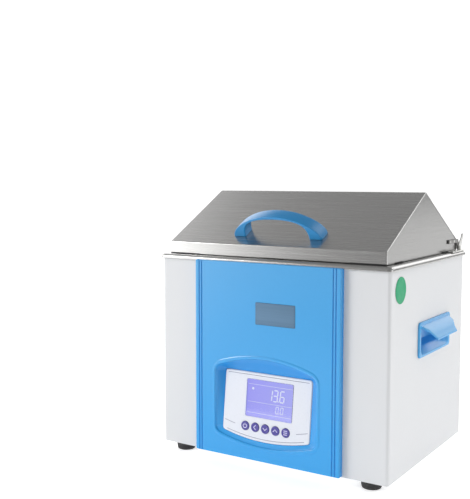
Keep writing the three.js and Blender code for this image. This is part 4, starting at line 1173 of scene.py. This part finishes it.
def icon(name):
    """Generic key marks, drawn around the key's centre."""
    if name == "button_power":
        return [arc((0, 0), 3.1, 130, 410, 24), [(0, 0.8), (0, 4.2)]]
    if name == "button_back":
        return [[(1.5, 3.4), (-2.1, 0), (1.5, -3.4)]]
    if name == "button_down":
        return [[(-3.4, 1.5), (0, -2.1), (3.4, 1.5)]]
    if name == "button_up":
        return [[(-3.4, -1.5), (0, 2.1), (3.4, -1.5)]]
    return [[(-3.1, 2.8), (3.1, 2.8)], [(-3.1, 0), (3.1, 0)], [(-3.1, -2.8), (3.1, -2.8)]]


def buttons():
    """Round keys with a flange behind the bezel, a dished face and a printed mark."""
    radius, proud, edge = BUTTON.radius, BUTTON.proud, BUTTON.edge
    profile = [(0.5, -8), (2.8, -8), (3, -7.8), (3, -5), (radius + 1.2, -5), (radius + 1.4, -4.8),
               (radius + 1.4, -3.8), (radius + 1.2, -3.6), (radius, -3.6), (radius, proud - edge)]
    profile += [(radius - edge * (1 - math.cos(a)), proud - edge * (1 - math.sin(a))) for a in quarter(5)[1:]]
    for share in (0.85, 0.65, 0.45, 0.25, 0.05):
        sink = BUTTON.dish * (1 - (share / 0.9) ** 2)
        profile.append((radius * share, proud - max(sink, 0)))
    for name, x in zip(BUTTON_NAMES, button_places()):
        word = name.removeprefix("button_")
        cap = on_bezel(shifted(lathe(profile, 48), x, BUTTON.z, 0))
        piece(f"key_{word}", cap, name, "button_plastic", replaces=name)
        strokes = [strip(points, 1.25, proud - 0.5, proud + 0.02) for points in icon(name)]
        mark = on_bezel(shifted(gathered(*strokes), x, BUTTON.z, 0))
        piece(f"mark_{word}", mark, name, "button_plastic", "icon_print")


# Which of a digit's seven bars are lit: a is the top one, b to f go on clockwise, and g is the middle one.
SEGMENTS = {"0": "abcdef", "1": "bc", "3": "abcdg", "6": "acdefg"}


def digit(character, x, z, height):
    """A seven-bar numeral whose lower left corner is at x, z."""
    width = height * 0.42
    thick = height * 0.11
    middle = height / 2
    bars = {
        "a": ((0, height), (width, height)), "g": ((0, middle), (width, middle)), "d": ((0, 0), (width, 0)),
        "b": ((width, height), (width, middle)), "c": ((width, middle), (width, 0)),
        "f": ((0, height), (0, middle)), "e": ((0, middle), (0, 0)),
    }
    shapes = []
    for letter in SEGMENTS[character]:
        start, end = (Vector(place) for place in bars[letter])
        along = (end - start).normalized()
        side = Vector((-along.y, along.x)) * thick / 2
        trim = along * thick * 0.58
        tip = along * thick * 0.5
        outline = [start + trim - tip, start + trim + side, end - trim + side, end - trim + tip,
                   end - trim - side, start + trim - side]
        shapes.append(prism([(x + u + v * 0.08, z + v) for u, v in outline], *LCD_INK))
    return shapes


# The figures lie between these heights, just above the display module's face.
LCD_INK = (0.02 - DISPLAY.module, 0.1 - DISPLAY.module)


def lcd_content():
    """Made-up figures on the display: two numbers with their points, three lines and a round mark."""
    x_at, z_at = DISPLAY.x, DISPLAY.z
    shapes = []
    for character, x, z, height in (("1", -4, -1, 16.5), ("3", 5.5, -1, 16.5), ("6", 17, -1, 16.5),
                                    ("0", 11, -18.5, 10), ("0", 19, -18.5, 10)):
        shapes += digit(character, x_at + x, z_at + z, height)
    for x, z, radius in ((14.4, -0.6, 1.0), (17.0, -18.2, 0.7)):
        shapes.append(prism(circle(radius, 16, (x_at + x, z_at + z)), *LCD_INK))
    for z in (20.5, -6.0, -22.5):
        line = [(x_at - 38, z_at + z), (x_at + 38, z_at + z)]
        shapes.append(strip(line, 0.5, LCD_INK[0], LCD_INK[1] - 0.04))
    shapes.append(prism(circle(2.0, 16, (x_at - 30, z_at + 14)), *LCD_INK))
    piece("lcd_figures", on_bezel(gathered(*shapes)), "cabinet", "display", "lcd_digits")


def display_window():
    high = DISPLAY.proud
    shape = soft_box(DISPLAY.width - 2 * GAP, DISPLAY.height - 2 * GAP, 1.7, high - DISPLAY.window, high, 0.4,
                     FLAT, (DISPLAY.x, DISPLAY.z), 5)
    piece("lcd_window", on_bezel(shape), "cabinet", "clear_plastic", replaces="display_window")


# ------------------------------------------------------------------ side grips and label, for the right side


def loft_along_x(sections, corner=1.5):
    """A skin through upright rounded rectangles, each (x, half width, low z, high z)."""
    rings = []
    for x, half, low, high in sections:
        radius = min(corner, (high - low) / 2.2)
        plan = rounded_rectangle(2 * half, high - low, radius, (GRIP.y, (low + high) / 2), 4)
        rings.append([Vector((x, y, z)) for y, z in plan])
    return loft(rings)


def side_grip():
    """A flange on the wall, a pocket sunk into the cabinet, and a hood that slopes out over it."""
    front, back, tip = WALL_X + GAP + GRIP.plate, WALL_X - GRIP.pocket, WALL_X + GRIP.reach
    y, z = GRIP.y, GRIP.z
    plate = soft_box(GRIP.width, GRIP.height, 6, WALL_X + GAP, front, 1.6, RIGHT, (y, z), 6)
    tray = block((back, front - 1), (y - GRIP.tray, y + GRIP.tray), (z - 21, z + 19))
    throat, ramp = GRIP.tray - 2, front - GRIP.ramp
    low, high = z - 22.5, z + 17
    pocket = loft_along_x([
        (back + 2, throat - 6, low + 15, high - 1), (back + 5, throat - 3.5, low + 13.4, high - 0.4),
        (ramp - 2, throat - 1.3, low + 11, high), (ramp + 1, throat - 1, low + 8.5, high),
        (front - GRIP.plate, throat, low + 3.2, high), (front - 0.8, throat + 2.3, low + 0.9, high),
        (front - 0.2, throat + 3.1, low + 0.1, high), (front, throat + 3.7, low - 0.5, high),
        (front + 1, throat + 4, low - 1, high),
    ], 7)
    hood = loft_along_x([
        (front - 1.5, 61.5, z + 18.7, z + 22.5), (front + 0.4, 60.6, z + 17.6, z + 21.6),
        (WALL_X + 13, 55, z + 12.2, z + 16), (tip - 5, 46.8, z + 4.9, z + 8.5),
        (tip - 1.6, 44.3, z + 1.2, z + 4.5), (tip - 0.3, 43.3, z + 0.15, z + 2.9),
        (tip, 42.6, z + 0.6, z + 2.3),
    ])
    return join(cut(join(plate, eased(tray, 0.8, 2)), pocket), hood)


def grips():
    for side, turn in SIDES:
        piece(f"grip_moulding_{side}", turn(side_grip()), "cabinet", "blue_plastic",
              replaces=f"side_grip_{side}")


def side_label():
    """A round film with a shallow ring pressed into it."""
    radius = LABEL.radius
    profile = [(radius, 0), (radius, 0.2), (radius - 0.12, GAP), (radius - 1.5, GAP), (radius - 1.6, 0.22),
               (radius - 2.3, 0.22), (radius - 2.4, GAP), (0.5, GAP)]
    disc = pointing_right(lathe(profile, 72), WALL_X + GAP, LABEL.y, LABEL.z)
    piece("round_label", disc, "cabinet", "green_label", replaces="side_label")


# ------------------------------------------------------------------ rear: panel, inlet, switch and drain

REAR_FACE = WALL_Y + GAP + CABINET.sheet
FACING_REAR = Matrix.Rotation(-math.pi / 2, 4, "X")
REAR = Sizes(width=376, height=284, corner=3)
SWITCH = Sizes(x=-70, z=62, width=22, height=30, hole=(19.6, 27.6), tilt=8)
INLET = Sizes(x=-120, z=62, width=50, height=24, hole=(28.6, 20.6), screws=(-20, 20))
DRAIN = Sizes(x=110, z=95, reach=30, hole=8.3)
VENT = Sizes(width=26, height=5, pitch_x=36, pitch_z=13, columns=8, rows=3, top=235)


def turned_rear(shape, x, z, y):
    """Moves a piece drawn along Z so that it stands out of the rear face."""
    return moved(shape, Matrix.Translation((x, y, z)) @ FACING_REAR)


def rear_panel():
    """A service plate with vents and openings for the inlet, the switch, the drain and its screws."""
    plate = soft_box(REAR.width, REAR.height, REAR.corner, WALL_Y + GAP, REAR_FACE, 0.5, FRONT,
                     (0, CABINET.middle), 4)
    through = (WALL_Y - PAST, WALL_Y + PAST)
    holes = [rod(CABINET.screw_hole, "y", through, place, 24) for place in screw_places()]
    holes.append(rod(DRAIN.hole, "y", through, (DRAIN.x, DRAIN.z)))
    for spot in (SWITCH, INLET):
        width, height = spot.hole
        holes.append(block((spot.x - width / 2, spot.x + width / 2), through,
                           (spot.z - height / 2, spot.z + height / 2)))
    for row in range(VENT.rows):
        for column in range(VENT.columns):
            centre = ((column - (VENT.columns - 1) / 2) * VENT.pitch_x, VENT.top - row * VENT.pitch_z)
            outline = rounded_rectangle(VENT.width, VENT.height, VENT.height / 2 - 0.05, centre, 6)
            holes.append(prism(outline, *through, FRONT))
    piece("service_panel", cut(plate, gathered(*holes)), "cabinet", "white_paint", replaces="rear_panel")


def rear_screws():
    """Pan-head screws with a cross recess."""
    profile = [(0.4, -7), (1.4, -7), (1.9, -6.2), (1.9, 0), (3.7, 0), (3.8, 0.3), (3.7, 0.9), (3.2, 1.5),
               (2.4, 1.95), (1.2, 2.2)]
    long, short, deep = (-2.1, 2.1), (-0.35, 0.35), (0.9, 3)
    for number, (x, z) in enumerate(screw_places(), start=1):
        screw = cut(lathe(profile, 32), block(long, short, deep), block(short, long, deep))
        piece(f"panel_screw_{number}", turned_rear(screw, x, z, REAR_FACE + GAP), "cabinet", "dark_steel",
              replaces=f"rear_screw_{number}")


def mains_inlet():
    """A flanged socket with three pins, held by two countersunk screws."""
    x, z, outside = INLET.x, INLET.z, REAR_FACE + GAP
    flange = soft_box(INLET.width, INLET.height, 4, outside, outside + 2.5, 0.8, FRONT, (x, z), 6)
    body = block((x - 14, x + 14), (WALL_Y - 18, outside + 1), (z - 10, z + 10))
    opening = [(-12, -8), (12, -8), (12, 4), (8.5, 8), (-8.5, 8), (-12, 4)]
    socket = prism([(x + u, z + v) for u, v in opening], WALL_Y - 15, outside + 5, FRONT)
    shell = cut(join(flange, body), socket, *inlet_turnings([(1.6, -1), (1.6, 0.4), (3.2, 3)]))
    piece("inlet_moulding", eased(shell, 0.25, 2), "cabinet", "black_plastic", replaces="mains_inlet")
    pins = []
    for dx, dz in ((-7, -1.5), (0, 3), (7, -1.5)):
        pin = block((x + dx - 1, x + dx + 1), (WALL_Y - 16, WALL_Y - 4), (z + dz - 2, z + dz + 2))
        pins.append(eased(pin, 0.5, 3))
    piece("inlet_pins", gathered(*pins), "cabinet", "brass")
    screws = inlet_turnings([(0.4, 0.2), (1.5, 0.2), (3.0, 2.3), (0.3, 2.35)])
    piece("inlet_screws", gathered(*screws), "cabinet", "dark_steel")


def inlet_turnings(profile):
    """The same turned shape at both of the inlet's screws."""
    return [turned_rear(lathe(profile, 24), INLET.x + dx, INLET.z, REAR_FACE + GAP) for dx in INLET.screws]


def power_switch():
    """A framed rocker with a printed stroke and ring."""
    x, z, outside = SWITCH.x, SWITCH.z, REAR_FACE + GAP
    flange = soft_box(SWITCH.width, SWITCH.height, 2, outside, outside + 2, 0.8, FRONT, (x, z), 5)
    body = block((x - 9.5, x + 9.5), (WALL_Y - 22, outside + 1), (z - 13.5, z + 13.5))
    well = block((x - 7, x + 7), (WALL_Y - 8, outside + 5), (z - 11.3, z + 11.3))
    piece("switch_frame", eased(cut(join(flange, body), well), 0.3, 2), "cabinet", "black_plastic",
          replaces="switch_housing")
    tip = Matrix.Translation((x, REAR_FACE, z)) @ Matrix.Rotation(math.radians(SWITCH.tilt), 4, "X")
    profile = [(-4, -3), (0.5, -10.6), (3.0, -10.5), (3.2, -10.2)]
    profile += bezier(profile[-1], (0.5, 0), (3.2, 10.2), steps=14)
    profile += [(3.0, 10.5), (0.5, 10.6), (-4, 3)]
    rocker = eased(prism(profile, -6.7, 6.7, RIGHT), 0.35, 2, 40)
    piece("rocker_key", moved(rocker, tip), "rocker", "black_plastic", replaces="power_rocker")
    low, high = 1.9, 2.6
    stroke = prism(rounded_rectangle(0.9, 4, 0.3, (0, 6.5), 3), low, high, FRONT)
    section = ((2.1, low), (2.1, high), (1.3, high), (1.3, low))
    ring = loft([[Vector((u, y, v)) for u, v in circle(radius, 24, (0, -6.5))] for radius, y in section],
                closed=True)
    piece("rocker_marks", moved(gathered(stroke, ring), tip), "rocker", "black_plastic", "icon_print")


def drain():
    """A ball valve's body with a hose tail, and its sleeved lever."""
    start, end = REAR_FACE + 1 + GAP, WALL_Y + DRAIN.reach
    x, z, stem_y = DRAIN.x, DRAIN.z, end - 16
    length = end - start
    barrel = lathe([(0.5, 5), (9.2, 5), (10, 5.8), (10, 8), (9.5, 8.4), (9.5, 9.4), (10, 9.8),
                    (10, length - 10.5), (9.2, length - 9.6), (7.2, length - 9), (7, length - 8.6),
                    (7, length - 6), (6.4, length - 5.6), (7, length - 5.2), (6.4, length - 4.2),
                    (7, length - 3.8), (6.4, length - 2.8), (7, length - 2.4), (7, length - 0.6),
                    (6.4, length), (0.5, length)], 48)
    body = turned_rear(join(hex_nut(13, 0, 6, 0.6), barrel), x, z, start)
    stem = lathe([(0.5, 0), (5, 0), (5, 10.5), (4.6, 11), (4.6, 12), (4.2, 13), (0.5, 13)], 32)
    body = join(body, shifted(stem, x, stem_y, z))
    bore = turned_rear(rod(4.5, "z", (length - 16, length + 1), (0, 0)), x, z, start)
    piece("valve_body", cut(body, bore), "cabinet", "brass", replaces="drain_valve")
    low = z + 13 + GAP
    blade = soft_box(46, 9, 4, low, low + 3, 0.5, FLAT, (x - 17, stem_y), 6, lower_edge=0.4)
    nut = shifted(hex_nut(3.6, low + 2.5, low + 4.5, 0.3), x, stem_y, 0)
    piece("lever_blade", join(blade, nut), "valve_lever", "stainless", "steel_x")
    sleeve = soft_box(28, 11, 5, low - 1, low + 4.5, 1.9, FLAT, (x - 27, stem_y), 6, lower_edge=1.9)
    piece("lever_sleeve", sleeve, "valve_lever", "red_plastic", replaces="drain_lever")


def hex_nut(radius, low, high, edge):
    return eased(prism(circle(radius, 6), low, high), edge, 2, 40)


# ------------------------------------------------------------------ everything, in order

cabinet()
feet()
deck()
tank()
shelf()
heater()
lid()
lid_handle()
handle_screws()
bumpers()
hinges()
front_panel()
nameplate()
bezel()
buttons()
lcd_content()
display_window()
grips()
side_label()
rear_panel()
rear_screws()
mains_inlet()
power_switch()
drain()

KEPT = {
    "base_plate": "white_paint", "tank_insulation": "glass_wool",
    "heater_nut_front": "brass", "heater_nut_rear": "brass", "sensor_nut": "brass",
    "temperature_sensor": "steel_x", "cut_out_thermostat": "black_plastic", "display_module": "display",
    "control_board": "circuit_board", "transformer": "copper", "relay_board": "circuit_board",
    "drain_pipe": "copper",
}
for node, material in KEPT.items():
    keep_cad(node, material)

# ------------------------------------------------------------------ floor, light and camera


def floor():
    """A lit white table top, as a photographer's light tent has."""
    mesh = bpy.data.meshes.new("floor")
    reach, front = 14, -1.0
    corners = [(-reach, front, 0), (reach, front, 0), (reach, reach, 0), (-reach, reach, 0)]
    mesh.from_pydata(corners, [], [(0, 1, 2, 3)])
    made = bpy.data.objects.new("floor", mesh)
    bpy.context.scene.collection.objects.link(made)
    finish = Finish("pale_floor", (0.92, 0.92, 0.92), 0.8, Emission_Strength=0.5)
    finish.shader.inputs["Emission Color"].default_value = (1, 1, 1, 1)
    finish.bump(finish.noise(40, detail=3), 0.0002, 0.2)
    mesh.materials.append(finish.material)


class Sky:
    """The light tent: brightness by direction, built from smooth steps along the world's axes."""

    def __init__(self):
        world = bpy.data.worlds.new("tent")
        bpy.context.scene.world = world
        world.use_nodes = True
        self.nodes, self.links = world.node_tree.nodes, world.node_tree.links
        split = self.nodes.new("ShaderNodeSeparateXYZ")
        self.links.new(self.nodes.new("ShaderNodeTexCoord").outputs["Generated"], split.inputs[0])
        self.direction = split.outputs

    def step(self, axis, start, end):
        """0 before start and 1 past end, smoothly, along one component of the direction."""
        node = self.nodes.new("ShaderNodeMapRange")
        node.interpolation_type = "SMOOTHSTEP"
        node.inputs["From Min"].default_value = start
        node.inputs["From Max"].default_value = end
        self.links.new(self.direction[axis], node.inputs["Value"])
        return node.outputs["Result"]

    def calculated(self, operation, first, second):
        node = self.nodes.new("ShaderNodeMath")
        node.operation = operation
        for socket, value in zip(node.inputs, (first, second)):
            if isinstance(value, (int, float)):
                socket.default_value = value
            else:
                self.links.new(value, socket)
        return node.outputs[0]

    def product(self, *factors):
        """The factors multiplied together, each a number or a pattern."""
        whole = factors[0]
        for factor in factors[1:]:
            whole = self.calculated("MULTIPLY", whole, factor)
        return whole


def sky():
    """White behind the bath up to half height, grey in front and overhead, with a bright left side."""
    tent = Sky()
    behind = tent.product(tent.step("Z", 0.70, 0.58), tent.step("Y", -0.10, 0.25))
    left = tent.step("X", -0.52, -0.64)
    lamp_side = tent.product(left, tent.step("Y", -0.30, -0.50))
    raised = tent.product(behind, tent.step("Z", 0.12, 0.30))
    middle = tent.product(tent.step("X", -0.34, -0.16), tent.step("X", 0.40, 0.20))
    backdrop = tent.product(tent.step("X", -0.14, -0.26), tent.step("Z", 0.38, 0.24))
    parts = [
        tent.product(raised, 0.95),
        tent.product(raised, middle, 0.5),
        tent.product(behind, tent.step("X", 0.40, 0.15), 0.35),
        tent.product(backdrop, tent.step("Y", 0.30, 0.50), 0.36),
        tent.product(tent.step("Z", 0.30, 0.05), lamp_side, 2.8),
        tent.product(left, 0.5),
        tent.product(tent.step("Z", 0.45, 0.65), 0.03),
    ]
    total = 0.32
    for part in parts:
        total = tent.calculated("ADD", total, part)
    tent.links.new(total, tent.nodes["Background"].inputs["Strength"])
    tent.nodes["Background"].inputs["Color"].default_value = (1, 1, 1, 1)


def softbox(name, place, width, height, power):
    """A rectangular lamp, sizes in metres and power in watts, aimed at the middle of the bath."""
    lamp = bpy.data.lights.new(name, "AREA")
    lamp.shape = "RECTANGLE"
    lamp.size = width
    lamp.size_y = height
    lamp.energy = power
    made = bpy.data.objects.new(name, lamp)
    made.location = place
    made.rotation_euler = (Vector((0, 0, 0.2)) - Vector(place)).to_track_quat("-Z", "Y").to_euler()
    bpy.context.scene.collection.objects.link(made)


def camera():
    """The photograph's viewpoint: right of the front, and just above level."""
    data = bpy.data.cameras.new("camera")
    data.lens = 60.6
    data.sensor_width = 36
    made = bpy.data.objects.new("camera", data)
    azimuth, elevation = math.radians(32.934), math.radians(4.888)
    made.location = TO_FRAME @ Vector((632.7, -1220.2, 427.6))
    across = math.cos(elevation)
    forward = Vector((-math.sin(azimuth) * across, math.cos(azimuth) * across, -math.sin(elevation)))
    made.rotation_euler = forward.to_track_quat("-Z", "Y").to_euler()
    bpy.context.scene.collection.objects.link(made)
    bpy.context.scene.camera = made


floor()
sky()
softbox("key", (-2.0, -1.75, 1.35), 1.0, 0.4, 27.5)
softbox("over_right", (1.24, 0.77, 2.1), 1.0, 1.0, 8)
softbox("right_strip", (1.9, -0.55, 0.25), 0.25, 1.4, 5.8)
camera()
bpy.context.scene.view_settings.view_transform = "Standard"
